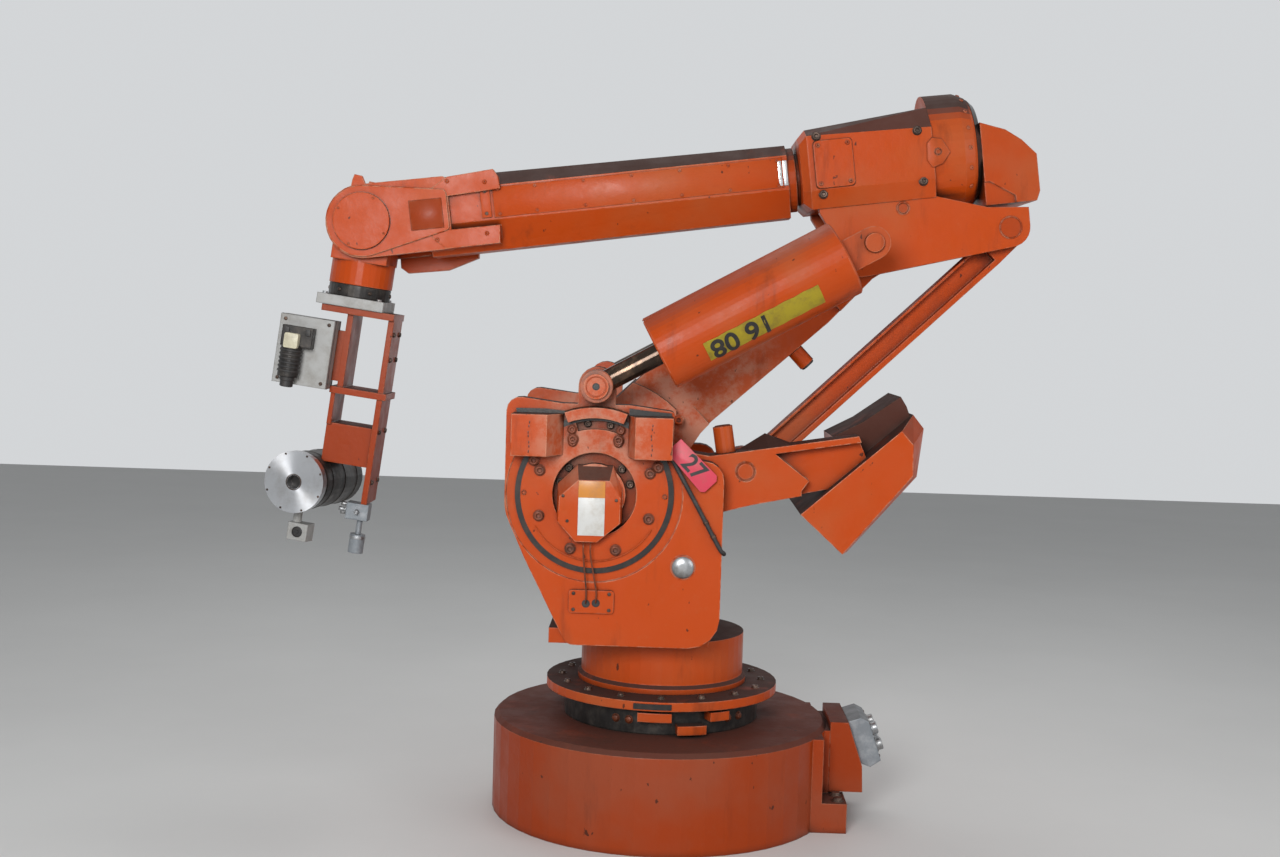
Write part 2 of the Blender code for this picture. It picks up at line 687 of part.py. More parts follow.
def turret(parent, orange, dark, steel):
    """The turning column, its side plates and what is fixed to them."""
    ring_top = RING_LOW + RING_H
    piece("turret_ring", disc(RING_R, RING_LOW, ring_top, "Z", steps=FINE), parent, orange)
    step = COLLAR_R - COLUMN_R
    column = [(COLLAR_R, ring_top + SEAT), (COLLAR_R, COLLAR_TOP - step), (COLUMN_R, COLLAR_TOP), (COLUMN_R, COLUMN_TOP)]
    piece("turret_column", turned(column, "Z", steps=FINE), parent, orange)
    half = PLATE_IN - SEAT
    slab = box((-FLOOR_REAR, -half, COLUMN_TOP + SEAT), (FLOOR_FRONT, half, FLOOR_TOP))
    piece("turret_floor", slab, parent, orange)
    for side, word in ((1, "left"), (-1, "right")):
        side_plate(parent, word, side, orange)
        drive(parent, word, side, orange)
        plate_fittings(parent, word, side, orange, steel)

    low, high = PLATE_OUT + SEAT, PLATE_OUT + CABLE_PLATE_THICK
    middle = PLATE_BOTTOM + (SHOULDER_Z - RECESS_R - PLATE_BOTTOM) * CABLE_PLATE_SHARE
    half, bottom, top = CABLE_PLATE_HALF, middle - CABLE_PLATE_H / 2, middle + CABLE_PLATE_H / 2
    outline = rounded([
        (SHOULDER_X - half, bottom, CABLE_PLATE_ROUND), (SHOULDER_X + half, bottom, CABLE_PLATE_ROUND),
        (SHOULDER_X + half, top, CABLE_PLATE_ROUND), (SHOULDER_X - half, top, CABLE_PLATE_ROUND),
    ])
    piece("cable_plate", prism(outline, low, high), parent, orange)


def lower_arm(parent, orange, dark):
    """The leaning arm: a hub on its shaft, a thick root and a beam that ends in a tongue at the elbow."""
    beam = [
        (-ARM_BACK, HUB_R / 2), (-ARM_BACK_LOW, HUB_R), (-ARM_BACK - THICK_PROUD, ARM_FLARE_AT), (-ARM_BACK, ARM_BACK_AT),
        (-ARM_BACK_TOP, ARM_BACK_TOP_AT),
        *arc((0.0, LOWER_LENGTH), ELBOW_R, 200.0, -20.0, 12),
        (ARM_FRONT, ARM_FRONT_AT), (ARM_FRONT_LOW, ARM_BACK_AT), (ARM_FRONT_LOW, HUB_R / 2),
    ]
    arm = piece("lower_arm", prism(beam, -ARM_HALF, ARM_HALF), parent, orange)
    front = ARM_FRONT_LOW + THICK_PROUD
    corner = CREASE_X + THICK_CORNER
    first, last = degrees(acos(corner / THICK_R)), degrees(acos(front / THICK_R))
    root = [(CREASE_X, 0.0), (CREASE_X, THICK_R - THICK_CORNER), *arc((0.0, 0.0), THICK_R, first, last, 4), (front, HUB_R), (0.0, 0.0)]
    add(arm, prism(root, -THICK_FAR, THICK_NEAR))
    add(arm, disc(HUB_R, -THICK_FAR - SEAT, THICK_NEAR + SEAT, steps=FINE))
    add(arm, disc(SHAFT_R, -PLATE_IN + PIN_RUN, PLATE_IN - PIN_RUN, steps=FINE))
    far = -2 * ARM_BACK_TOP
    for side in (1, -1):
        slope = CREASE_DROP * (CREASE_X - far) / (ARM_BACK_TOP + CREASE_X)
        wedge = [
            (CREASE_X, side * ARM_HALF), (far, side * (ARM_HALF - slope)),
            (far, side * (ARM_HALF + OVERRUN)), (CREASE_X, side * (ARM_HALF + OVERRUN)),
        ]
        cut(arm, prism(wedge, CREASE_LOW, CREASE_HIGH, "Z"))
    cut(arm, disc(ELBOW_PIN_R + PIN_RUN, -CAN_Y, CAN_Y, centre=(0.0, LOWER_LENGTH), steps=SMALL))
    rise = (BUMPER_AT + BUMPER_R - ARM_BACK_AT) / (ARM_BACK_TOP_AT - ARM_BACK_AT)
    back = ARM_BACK + (ARM_BACK_TOP - ARM_BACK) * rise
    stop = disc(BUMPER_R, -back - BUMPER_LONG, -back - SEAT, "X", (BUMPER_Y, BUMPER_AT), SMALL)
    piece("lower_arm_stop", stop, parent, orange)


def elbow(parent, steel):
    """The pin through tongue and cheeks, on which the balancing cylinders hang too."""
    end = CAN_Y + EYE_HALF + CAP_THICK
    inner = CHEEK_OUT + RUN
    profile = [(TRUNNION_R, -end), (TRUNNION_R, -inner), (ELBOW_PIN_R, -inner),
               (ELBOW_PIN_R, inner), (TRUNNION_R, inner), (TRUNNION_R, end)]
    piece("elbow_pin", turned(profile, steps=SMALL), parent, steel)


def balance_rod(parent, word, side, dark):
    """The rod of a balancing cylinder, with the eye on the turret's pivot; z runs along it."""
    top = ROD_SHOWN + ROD_INSIDE
    y = side * CAN_Y
    rod = piece(f"{word}_balance_rod", disc(ROD_R, 0.0, top, "Z", (0.0, y), SMALL), parent, dark)
    add(rod, disc(EYE_R, y - EYE_HALF, y + EYE_HALF, steps=SMALL))
    cut(rod, disc(PIVOT_R + PIN_RUN, y - EYE_HALF - OVERRUN, y + EYE_HALF + OVERRUN, steps=SMALL))


def balance_can(parent, word, side, orange):
    """The spring can, hung from the elbow pin; its top is near the pin and -z runs down it."""
    y = side * CAN_Y
    top, bottom = -CAN_TOP_GAP, ROD_SHOWN - balance_span()
    profile = [(CAN_R - CAN_RIM, bottom), (CAN_R, bottom + CAN_RIM), (CAN_R, top - CAN_RIM), (CAN_R - CAN_RIM, top)]
    can = piece(f"{word}_balance_can", turned(profile, "Z", (0.0, y), FINE), parent, orange)
    inside = CAN_R - CAN_WALL
    cut(can, disc(inside, bottom + CAN_CAP, top - CAN_CAP, "Z", (0.0, y), FINE))
    slot = box((-inside, y - ROD_R - RUN, bottom - OVERRUN), (inside, y + ROD_R + RUN, bottom + CAN_CAP + OVERRUN))
    cut(can, slot)
    ear = hull_outline([(0.0, 0.0, EYE_R), (0.0, top, EYE_R)])
    add(can, prism(ear, y - EYE_HALF, y + EYE_HALF))
    cut(can, disc(TRUNNION_R + PIN_RUN, y - EYE_HALF - OVERRUN, y + EYE_HALF + OVERRUN, steps=SMALL))


def on_slope(along, proud):
    """A point along the counterweight's sloping face, and out from it."""
    slope = radians(WEIGHT_SLOPE)
    return (WEIGHT_X + along * cos(slope) + proud * sin(slope), WEIGHT_Z + along * sin(slope) - proud * cos(slope))


def parallel_arm(parent, orange, dark):
    """The lever that the third motor turns, beside the lower arm, and the weight at its rear."""
    low_end = (-WEIGHT_Z - LEVER_LOW_REAR) / sin(radians(WEIGHT_SLOPE))
    outline = [
        *arc((0.0, 0.0), LEVER_HUB_R, LEVER_HUB_TURN, -LEVER_HUB_TURN, 24), (-LEVER, -LEVER_LOW),
        on_slope(low_end, SEAT), on_slope(WEIGHT_FACE * 2 / 3, SEAT),
        (-LEVER_REAR, LEVER_TOP), (-LEVER_TOP_FRONT, LEVER_TOP),
    ]
    arm = piece("parallel_arm", prism(outline, LEVER_IN, LEVER_OUT), parent, orange)
    rings = []
    for back, rise in ((RIB_START, -OVERRUN / 2), (RIB_PEAK, RIB_RISE), (RIB_END, -OVERRUN / 2)):
        low = LEVER_TOP - 2 * OVERRUN
        rings.append([(-back, LEVER_OUT - OVERRUN, low), (-back, LEVER_IN + SEAT, low), (-back, LEVER_IN + SEAT, LEVER_TOP + rise)])
    add(arm, loft(rings))
    pocket = [(-back, up) for back, up in POCKET_POINTS]
    cut(arm, prism(pocket, LEVER_OUT - POCKET_DEEP, LEVER_OUT + OVERRUN))
    cut(arm, disc(SHAFT_R + PIN_RUN, LEVER_IN - OVERRUN, LEVER_OUT + OVERRUN, steps=FINE))
    cut(arm, disc(LINK_PIN_R + PIN_RUN, LEVER_IN - OVERRUN, LEVER_OUT + OVERRUN, centre=(-LEVER, 0.0), steps=SMALL))
    stop = disc(STOP_PIN_R, LEVER_TOP + SEAT, STOP_PIN_TOP, "Z", (-STOP_PIN_AT, STOP_PIN_Y), SMALL)
    piece("parallel_arm_stop", stop, parent, orange)
    counterweight(parent, orange)


def counterweight(parent, orange):
    """A block with tapering ends and a crest between them."""
    def section(y, face, deep, shares):
        return [(x, y, z) for x, z in (on_slope(face * a, -deep * b) for a, b in shares)]

    end, middle = (WEIGHT_FACE, WEIGHT_DEEP, WEIGHT_SHARES), (WEIGHT_FACE_MID, WEIGHT_DEEP_MID, WEIGHT_MID_SHARES)
    rings = [section(-WEIGHT_HALF, *end), section(-WEIGHT_MID, *middle), section(WEIGHT_MID, *middle), section(WEIGHT_HALF, *end)]
    weight = piece("counterweight", loft(rings), parent, orange)
    crest = [on_slope(WEIGHT_FACE_MID * a, WEIGHT_FACE_MID / 4 * b) for a, b in CREST_SHARES]
    add(weight, prism(crest, -CREST_HALF, CREST_HALF))


def lower_link_pin(parent, steel):
    """The pin that the lever carries for the rod, with a cap on the near side."""
    shoulder = LEVER_OUT - LINK_CAP / 4
    profile = [(LINK_PIN_R, ROD_FAR), (LINK_PIN_R, shoulder), (LINK_CAP_R, shoulder), (LINK_CAP_R, shoulder + LINK_CAP)]
    piece("lower_link_pin", turned(profile, steps=SMALL), parent, steel)


def parallel_rod(parent, orange):
    """The rod that ties the two levers, hollowed on both sides; z runs up it from the lower pin."""
    turn = degrees(acos(ROD_FRONT / LINK_EYE_R))
    outline = arc((0.0, 0.0), LINK_EYE_R, 180.0, 360.0 + turn, 16)
    outline += arc((0.0, LOWER_LENGTH), LINK_EYE_R, -turn, 180.0, 16)
    outline += [(-ROD_BACK, LOWER_LENGTH - ROD_TAPER), (-ROD_BACK, ROD_TAPER)]
    rod = piece("parallel_rod", prism(outline, ROD_FAR, ROD_NEAR), parent, orange)
    for at in (0.0, LOWER_LENGTH):
        cut(rod, disc(LINK_PIN_R + PIN_RUN, ROD_FAR - OVERRUN, ROD_NEAR + OVERRUN, centre=(0.0, at), steps=SMALL))
    middle = (ROD_NEAR + ROD_FAR) / 2
    for low, high in ((middle + ROD_WEB / 2, ROD_NEAR + OVERRUN), (ROD_FAR - OVERRUN, middle - ROD_WEB / 2)):
        pocket = box((-ROD_BACK + ROD_RIM_BACK, low, ROD_TAPER), (ROD_FRONT - ROD_RIM_FRONT, high, LOWER_LENGTH - ROD_TAPER))
        cut(rod, pocket)


def upper_arm(parent, orange, dark, steel):
    """The housing over the elbow, its cheeks and lugs, and the wrist's drive ring and motors at its rear."""
    def section(x, roof, side_top, inset):
        half, floor_half, roof_half = HOUSE_HALF - inset, HOUSE_FLOOR_HALF - inset, HOUSE_ROOF_HALF - inset
        return [(x, half, HOUSE_SIDE_LOW), (x, half, side_top - inset), (x, roof_half, roof - inset),
                (x, -roof_half, roof - inset), (x, -half, side_top - inset), (x, -half, HOUSE_SIDE_LOW),
                (x, -floor_half, HOUSE_LOW + inset), (x, floor_half, HOUSE_LOW + inset)]

    body = loft([
        section(HOUSE_FRONT, HOUSE_ROOF_FRONT, HOUSE_SIDE_FRONT, HOUSE_NOSE),
        section(HOUSE_FRONT - HOUSE_NOSE, HOUSE_ROOF_FRONT, HOUSE_SIDE_FRONT, 0.0),
        section(-HOUSE_REAR, HOUSE_ROOF_REAR, HOUSE_SIDE_REAR, 0.0),
    ])
    house = piece("upper_arm_housing", body, parent, orange)
    turn = radians(LEVER_RISE - UPPER_DROP)
    link = (-LEVER * cos(turn), LEVER * sin(turn))
    rear = LUG_R - link[0]
    top = HOUSE_LOW + OVERRUN
    cheek = [
        (CHEEK_FRONT, top), (CHEEK_FRONT, CHEEK_FRONT_Z), (CHEEK_CHIN, CHEEK_CHIN_Z), *arc((0.0, 0.0), BOSS_R, 0.0, -100.0, 8),
        *arc(link, LUG_R, -90.0, -180.0, 6), (-rear, LUG_TOP), (-RING2_REAR, COVER_LOW - RUN),
        (-HOUSE_REAR + OVERRUN, top),
    ]
    for side in (1, -1):
        low, high = mirrored(CHEEK_IN, CHEEK_OUT, side)
        add(house, prism(cheek, low, high))
    cut(house, disc(RING2_R + SEAT, -rear - OVERRUN, -HOUSE_REAR + SEAT, "X", (0.0, RING2_Z), FINE))
    cut(house, disc(ELBOW_PIN_R + PIN_RUN, -CHEEK_OUT - OVERRUN, CHEEK_OUT + OVERRUN, steps=SMALL))
    cut(house, disc(LINK_PIN_R + PIN_RUN, -CHEEK_OUT - OVERRUN, CHEEK_OUT + OVERRUN, centre=link, steps=SMALL))
    cut(house, disc(NECK_R + PIN_RUN, HOUSE_FRONT - NECK_DEEP, HOUSE_FRONT + OVERRUN, "X", (0.0, FORE_RAISE), FINE))

    long = RING2_REAR - HOUSE_REAR
    profile = [(RING2_R * a, -HOUSE_REAR - long * b) for a, b in RING2_PROFILE_SHARES]
    piece("axis_4_gear_ring", turned(profile, "X", (0.0, RING2_Z), FINE), parent, orange)

    def on_cover(shares):
        return [(-RING2_REAR - SEAT - COVER_LONG * a, COVER_LOW + COVER_HIGH * b) for a, b in shares]

    cover = piece("wrist_motor_cover", prism(on_cover(COVER_SHARES), -COVER_HALF, COVER_HALF), parent, orange)
    for side in (1, -1):
        low, high = mirrored(COVER_HALF - COVER_FACET, COVER_HALF + OVERRUN, side)
        cut(cover, prism(on_cover(COVER_FACET_SHARES), low, high))
    hatch = rounded([
        (HATCH_REAR, HATCH_LOW, HATCH_ROUND), (HATCH_FRONT, HATCH_LOW, HATCH_ROUND),
        (HATCH_FRONT, HATCH_HIGH, HATCH_ROUND), (HATCH_REAR, HATCH_HIGH, HATCH_ROUND),
    ])
    piece("housing_hatch", prism(hatch, HOUSE_HALF + SEAT, HOUSE_HALF + HATCH_THICK), parent, orange)
    piece("upper_link_pin", disc(LINK_PIN_R, -CHEEK_OUT, CHEEK_OUT, centre=link, steps=SMALL), parent, steel)


def fore_section(x, top, low, wide):
    """An eight-sided section of the forearm."""
    side = wide / 2
    return [(x, wide, FORE_CREASE_TOP), (x, side, top), (x, -side, top), (x, -wide, FORE_CREASE_TOP),
            (x, -wide, -FORE_CREASE_LOW), (x, -side, -low), (x, side, -low), (x, wide, -FORE_CREASE_LOW)]


def forearm(parent, orange, dark):
    """The long eight-sided arm, forked round the wrist."""
    def from_wrist(points):
        return [(FORE_REACH + x, z) for x, z in points]

    start = FORE_REAR + FORE_NECK
    fork = FORE_REACH - FORK_DEEP
    body = loft([
        fore_section(start, FORE_TOP_REAR, FORE_LOW_REAR, FORE_WIDE_REAR),
        fore_section(fork, FORE_TOP, FORE_LOW, FORE_WIDE),
    ])
    arm = piece("forearm", body, parent, orange)
    add(arm, disc(FORE_TOP_REAR - OVERRUN, FORE_REAR, start + OVERRUN, "X"))
    add(arm, disc(NECK_R, HOUSE_FRONT - NECK_DEEP + PIN_RUN, FORE_REAR + OVERRUN, "X", steps=FINE))
    root = fork - FORK_ROOT
    cheeks = hull_outline([
        (root - OVERRUN, FORK_HIGH, FORK_ROOT_R), (root - OVERRUN, -FORK_HIGH, FORK_ROOT_R), (FORE_REACH, 0.0, WRIST_R),
    ], ROUND)
    add(arm, prism(cheeks, -FORK_SIDE, FORK_SIDE))
    raised = hull_outline([
        (root, FORK_ROOT_HIGH, FORK_ROOT_R), (root, -FORK_ROOT_LOW, FORK_ROOT_R), (FORE_REACH, 0.0, WRIST_R - OVERRUN),
    ], ROUND)
    for side in (1, -1):
        low, high = mirrored(FORK_IN + OVERRUN, FORK_OUT, side)
        add(arm, prism(raised, low, high))
    for side in (1, -1):
        low, high = mirrored(POD_IN, POD_OUT, side)
        add(arm, prism(from_wrist(UPPER_POD), low, high))
        add(arm, prism(from_wrist(LOWER_POD), low, high))
        low, high = mirrored(LUG4_IN, LUG4_OUT, side)
        add(arm, prism(from_wrist(LUG4), low, high))
    add(arm, prism(from_wrist(FAIRING), -FORK_OUT + SEAT, -FAIRING_IN))
    room = WRIST_R + OVERRUN
    fork_top = LUG4[2][1] + OVERRUN
    cut(arm, box((fork, -FORK_IN, -fork_top), (FORE_REACH + room, FORK_IN, fork_top)))
    cut(arm, disc(WRIST_PIN_R + PIN_RUN, -WRIST_PIN_END - PIN_RUN, WRIST_PIN_END + PIN_RUN, centre=(FORE_REACH, 0.0), steps=SMALL))
    for side, word in ((1, "left"), (-1, "right")):
        low, high = mirrored(FORK_OUT + SEAT, FORK_OUT + WRIST_CAP, side)
        cap = disc(WRIST_CAP_R, low, high, centre=(FORE_REACH, 0.0))
        piece(f"{word}_wrist_cover", cap, parent, orange)


def wrist(parent, orange):
    """The tilting head between the forearm's cheeks, with the sixth axis's drum."""
    head = piece("wrist_housing", disc(TILT_R, -TILT_HALF, TILT_HALF), parent, orange)
    add(head, box((0.0, -TILT_HALF + SEAT, -TILT_NECK), (DRUM6_IN + OVERRUN, TILT_HALF - SEAT, TILT_NECK)))
    add(head, disc(DRUM6_R, DRUM6_IN, DRUM6_OUT, "X"))
    add(head, disc(WRIST_PIN_R, -WRIST_PIN_END, WRIST_PIN_END, steps=SMALL))
    cut(head, disc(SPIGOT_R + PIN_RUN, DRUM6_OUT - SPIGOT_DEEP - PIN_RUN, DRUM6_OUT + OVERRUN, "X"))


def tool(parent, orange, dark, pale, steel, grey):
    """What hangs on the sixth axis: the adapter, the bracket and the box on it."""
    face = DRUM6_OUT + PIN_RUN
    profile = [(SPIGOT_R, DRUM6_OUT - SPIGOT_DEEP), (SPIGOT_R, face), (FLANGE6_R, face), (FLANGE6_R, FLANGE6_OUT)]
    piece("tool_flange", turned(profile, "X"), parent, dark)
    at = FLANGE6_OUT + SEAT
    adapter = box((at, -ADAPTER_HALF, -ADAPTER_BACK), (at + ADAPTER_THICK, ADAPTER_HALF, ADAPTER_FRONT))
    piece("adapter_plate", adapter, parent, pale)
    at += ADAPTER_THICK + SEAT
    root = at + MOUNT_THICK / 2
    bracket = piece("tool_bracket", box((at, -MOUNT_HALF, -BACK_PLATE), (at + MOUNT_THICK, MOUNT_HALF, MOUNT_FRONT)), parent, orange)
    half = BACK_PLATE_HALF
    back = -BACK_PLATE + SEAT
    add(bracket, box((root, -half, back), (BACK_PLATE_END, half, -BACK_PLATE + BACK_PLATE_THICK)))
    add(bracket, box((root, -half, FRONT_PLATE_LOW), (CROSS_AT + OVERRUN, half, FRONT_PLATE_HIGH)))
    add(bracket, box((CROSS_AT, -CROSS_HALF, -CROSS_BACK), (CROSS_AT + CROSS_THICK, CROSS_HALF, CROSS_FRONT)))
    add(bracket, box((CROSS_AT + OVERRUN, -half, LEG_LOW), (SADDLE_AT + OVERRUN, half, LEG_HIGH)))
    saddle = (SADDLE_END, SADDLE_HALF, SADDLE_FRONT)
    add(bracket, box((SADDLE_AT, -SADDLE_HALF, back + OVERRUN), saddle))
    foot = JBOX_NEAR + JBOX_FOOT
    add(bracket, box((foot, JBOX_IN, FRONT_PLATE_LOW + OVERRUN), (JBOX_FAR - JBOX_FOOT, half - SEAT, JBOX_LOW - SEAT)))
    seat = disc(SPINDLE_R + SEAT, -SPINDLE_FAR, SPINDLE_FAR)
    turn = Matrix.Translation((SPINDLE_AT, 0.0, SPINDLE_FRONT)) @ Matrix.Rotation(radians(SPINDLE_TWIST), 4, "X")
    seat.transform(turn)
    cut(bracket, seat)

    piece("junction_box", box((JBOX_NEAR, JBOX_IN, JBOX_LOW), (JBOX_FAR, JBOX_OUT, JBOX_HIGH)), parent, pale)
    low = JBOX_OUT + SEAT
    plug = piece("junction_connector", box((PLUG6_NEAR, low, PLUG6_LOW), (PLUG6_FAR, low + PLUG6_THICK, PLUG6_HIGH)), parent, dark)
    add(plug, disc(GLAND_R, PLUG6_FAR - OVERRUN, GLAND_END, "X", (GLAND_OUT, GLAND_Z), SMALL))
    valve(parent, grey)


def valve(parent, grey):
    """A valve block on the end of the bracket's long plate, with a filter on it."""
    start = BACK_PLATE_END + SEAT
    end = start + VALVE_LONG
    block = box((start, VALVE_Y - VALVE_HALF, VALVE_LOW), (end, VALVE_Y + VALVE_HALF, VALVE_HIGH))
    made = piece("valve_block", block, parent, grey)
    middle = (VALVE_Y, (VALVE_LOW + VALVE_HIGH) / 2 - FILTER_NECK_R)
    profile = [(FILTER_NECK_R, end - OVERRUN), (FILTER_NECK_R, FILTER_AT), (FILTER_R, FILTER_AT), (FILTER_R, FILTER_END)]
    add(made, turned(profile, "X", middle, SMALL))


def spindle(parent, dark, steel, pale):
    """The spindle across the bracket's end, its bright disc and the socket on its side; y runs along it."""
    piece("tool_spindle", disc(SPINDLE_R, -SPINDLE_FAR, SPINDLE_NEAR), parent, dark)
    face = piece("spindle_disc", disc(DISC_R, SPINDLE_NEAR + SEAT, SPINDLE_NEAR + DISC_THICK), parent, steel)
    cut(face, disc(DISC_HOLE_R, SPINDLE_NEAR - OVERRUN, SPINDLE_NEAR + DISC_THICK + OVERRUN, steps=SMALL))
    low, high = SOCKET_Y - SOCKET_HALF, SOCKET_Y + SOCKET_HALF
    socket = piece("spindle_socket", box((SOCKET_NEAR, low, SOCKET_LOW), (SOCKET_FAR, high, SOCKET_HIGH)), parent, pale)
    add(socket, disc(SOCKET_NECK_R, SPINDLE_R + SEAT, SOCKET_NEAR + OVERRUN, "X", (SOCKET_Y, 0.0), SMALL))


def balance_span():
    """From the balance pivot to the elbow."""
    elbow_x, _, elbow_z = elbow_place()
    return hypot(SHOULDER_X - elbow_x, SHOULDER_Z + BALANCE_HEIGHT - elbow_z)


def elbow_place():
    lean = radians(LOWER_LEAN)
    return (SHOULDER_X - LOWER_LENGTH * sin(lean), 0.0, SHOULDER_Z + LOWER_LENGTH * cos(lean))


def main():
    for old in list(bpy.data.objects):
        bpy.data.objects.remove(old, do_unlink=True)
    orange = material("orange_paint", ORANGE)
    dark = material("dark_steel", DARK, 0.6)
    steel = material("bright_steel", STEEL, 0.9, 0.35)
    pale = material("pale_paint", PALE)
    grey = material("grey_metal", GREY, 0.5)

    base(orange, dark, grey)
    axis_1 = frame("axis_1", None, (0.0, 0.0, 0.0))
    turret(axis_1, orange, dark, steel)

    axis_2 = frame("axis_2", axis_1, (SHOULDER_X, 0.0, SHOULDER_Z), -LOWER_LEAN)
    lower_arm(axis_2, orange, dark)
    axis_3_pin = frame("axis_3_pin", axis_2, (0.0, 0.0, LOWER_LENGTH), LOWER_LEAN)
    elbow(axis_3_pin, steel)

    elbow_x, _, elbow_z = elbow_place()
    lean = degrees(atan2(SHOULDER_X - elbow_x, elbow_z - SHOULDER_Z - BALANCE_HEIGHT))
    low_pivot = frame("balance_low", axis_1, (SHOULDER_X, 0.0, SHOULDER_Z + BALANCE_HEIGHT), -lean)
    high_pivot = frame("balance_high", axis_2, (0.0, 0.0, LOWER_LENGTH), LOWER_LEAN - lean)
    for side, word in ((1, "left"), (-1, "right")):
        balance_rod(low_pivot, word, side, dark)
        balance_can(high_pivot, word, side, orange)

    lever_frame = frame("lever", axis_1, (SHOULDER_X, 0.0, SHOULDER_Z), LEVER_RISE)
    parallel_arm(lever_frame, orange, dark)
    low_link = frame("low_link", lever_frame, (-LEVER, 0.0, 0.0), -LEVER_RISE)
    lower_link_pin(low_link, steel)
    rod_frame = frame("rod", low_link, (0.0, 0.0, 0.0), -LOWER_LEAN)
    parallel_rod(rod_frame, orange)

    axis_3 = frame("axis_3", axis_3_pin, (0.0, 0.0, 0.0), UPPER_DROP)
    upper_arm(axis_3, orange, dark, steel)
    axis_4 = frame("axis_4", axis_3, (0.0, 0.0, FORE_RAISE))
    forearm(axis_4, orange, dark)
    axis_5 = frame("axis_5", axis_4, (FORE_REACH, 0.0, 0.0), WRIST_BEND)
    wrist(axis_5, orange)
    axis_6 = frame("axis_6", axis_5, (0.0, 0.0, 0.0))
    tool(axis_6, orange, dark, pale, steel, grey)
    across = frame("spindle", axis_6, (SPINDLE_AT, 0.0, SPINDLE_FRONT), twist=SPINDLE_TWIST)
    spindle(across, dark, steel, pale)


main()
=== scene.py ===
"""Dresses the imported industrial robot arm: enamel, fasteners, wiring, tags, camera, floor and light."""

import json
from math import atan2, cos, degrees, pi, radians, sin

import bmesh
import bpy
from mathutils import Matrix, Vector
from mathutils.bvhtree import BVHTree


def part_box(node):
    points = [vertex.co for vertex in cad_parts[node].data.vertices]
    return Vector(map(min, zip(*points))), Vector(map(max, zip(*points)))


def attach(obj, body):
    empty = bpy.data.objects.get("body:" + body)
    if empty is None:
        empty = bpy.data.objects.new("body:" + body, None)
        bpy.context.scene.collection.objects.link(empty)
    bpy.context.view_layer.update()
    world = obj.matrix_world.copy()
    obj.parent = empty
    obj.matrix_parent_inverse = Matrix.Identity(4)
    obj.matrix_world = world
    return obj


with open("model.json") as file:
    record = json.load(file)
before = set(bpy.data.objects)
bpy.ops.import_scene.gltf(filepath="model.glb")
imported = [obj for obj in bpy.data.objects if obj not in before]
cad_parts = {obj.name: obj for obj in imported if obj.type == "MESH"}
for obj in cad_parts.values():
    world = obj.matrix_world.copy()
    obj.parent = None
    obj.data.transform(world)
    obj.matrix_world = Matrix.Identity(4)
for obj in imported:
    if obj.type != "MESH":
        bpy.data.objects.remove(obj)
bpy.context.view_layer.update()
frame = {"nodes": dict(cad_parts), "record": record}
NODES = frame["nodes"]
TREES = {}  # a ray-casting tree for each node that screws are placed on
JOINTS = {row["name"]: row for row in frame["record"]["behaviour"]["joints"]}

# Camera, fitted to the photograph; its image is 1280 wide
CAMERA_PLACE = (0.0159, 4.4662, 1.3435)
CAMERA_YAW = 0.0145
CAMERA_PITCH = 0.0652
CAMERA_ROLL = -0.0303
CAMERA_FOCAL = 1620.2
IMAGE_WIDTH = 1280
SENSOR_WIDTH = 36.0

# How far each link's +X drops at rest, in degrees
LOWER_LEAN = 46.0
LEVER_DROP = 9.4
UPPER_DROP = 7.5
WRIST_DROP = 82.5
FILM = 0.0004  # between a surface and what is stuck on it
CLOSE = FILM / 2  # the same under a thin ring
FILM_TOP = 0.0012  # how far a film or a gasket stands out
FILM_EDGE = 0.0003  # the bevel round a film
SUNK = 0.0040  # how far a screw reaches into what it is on
SHARP_NODE, SHARP_PIECE, SHARP_WIRE = 18.0, 35.0, 60.0  # edges steeper than this stay sharp, in degrees
SIDES = ((1, "left"), (-1, "right"))
ALONG_X, ALONG_Y, ALONG_Z = (1, 0, 0), (0, 1, 0), (0, 0, 1)
SPINDLE_OUT, SPINDLE_UP, SPINDLE_ROLL = 0.723, 0.057, 10.0  # the spindle's centre on the tool, and its turn


def link(joint, drop):
    """A link's own axes at rest, with its origin on a joint."""
    return Matrix.Translation(JOINTS[joint]["pos_m"]) @ Matrix.Rotation(radians(drop), 4, "Y")


WORLD = Matrix.Identity(4)
HUB = Matrix.Translation(JOINTS["axis_2"]["pos_m"])
LOWER = link("axis_2", -LOWER_LEAN)
LEVER = link("axis_2", LEVER_DROP)
UPPER = link("axis_3", UPPER_DROP)
FORE = link("axis_4", UPPER_DROP)
FORK = link("axis_5", UPPER_DROP)
TOOL = link("axis_5", WRIST_DROP)
SPINDLE = TOOL @ Matrix.Translation((SPINDLE_OUT, 0.0, SPINDLE_UP)) @ Matrix.Rotation(radians(SPINDLE_ROLL), 4, "X")
BALANCE = Vector(JOINTS["left_rod_hinge"]["pos_m"]) - Vector(JOINTS["left_can_hinge"]["pos_m"])
CAN = link("left_can_hinge", degrees(atan2(-BALANCE.z, BALANCE.x)))

EDGE_RADIUS = 0.005
FRESH, FADED = (0.49, 0.060, 0.004), (0.45, 0.092, 0.024)  # the enamel's two oranges; the shade dims red and green
# Bleached paint, and the pale colour of rubbed edges, which also paints edge highlights
CHALKY, RUBBED_AND_HIGHLIT = (0.52, 0.22, 0.14), (0.66, 0.34, 0.22)
# Dark colours: grime, which also paints shade in corners; dirt on what faces up, which also paints shade on recessed
# side faces; dust on metal
GRIME_AND_SHADE, DIRT_AND_SHADE, DUST = (0.030, 0.014, 0.009), (0.034, 0.026, 0.023), (0.05, 0.043, 0.038)
ROD_EYE = (0.0415, 0.0435)  # where a balance rod's painted eye ends


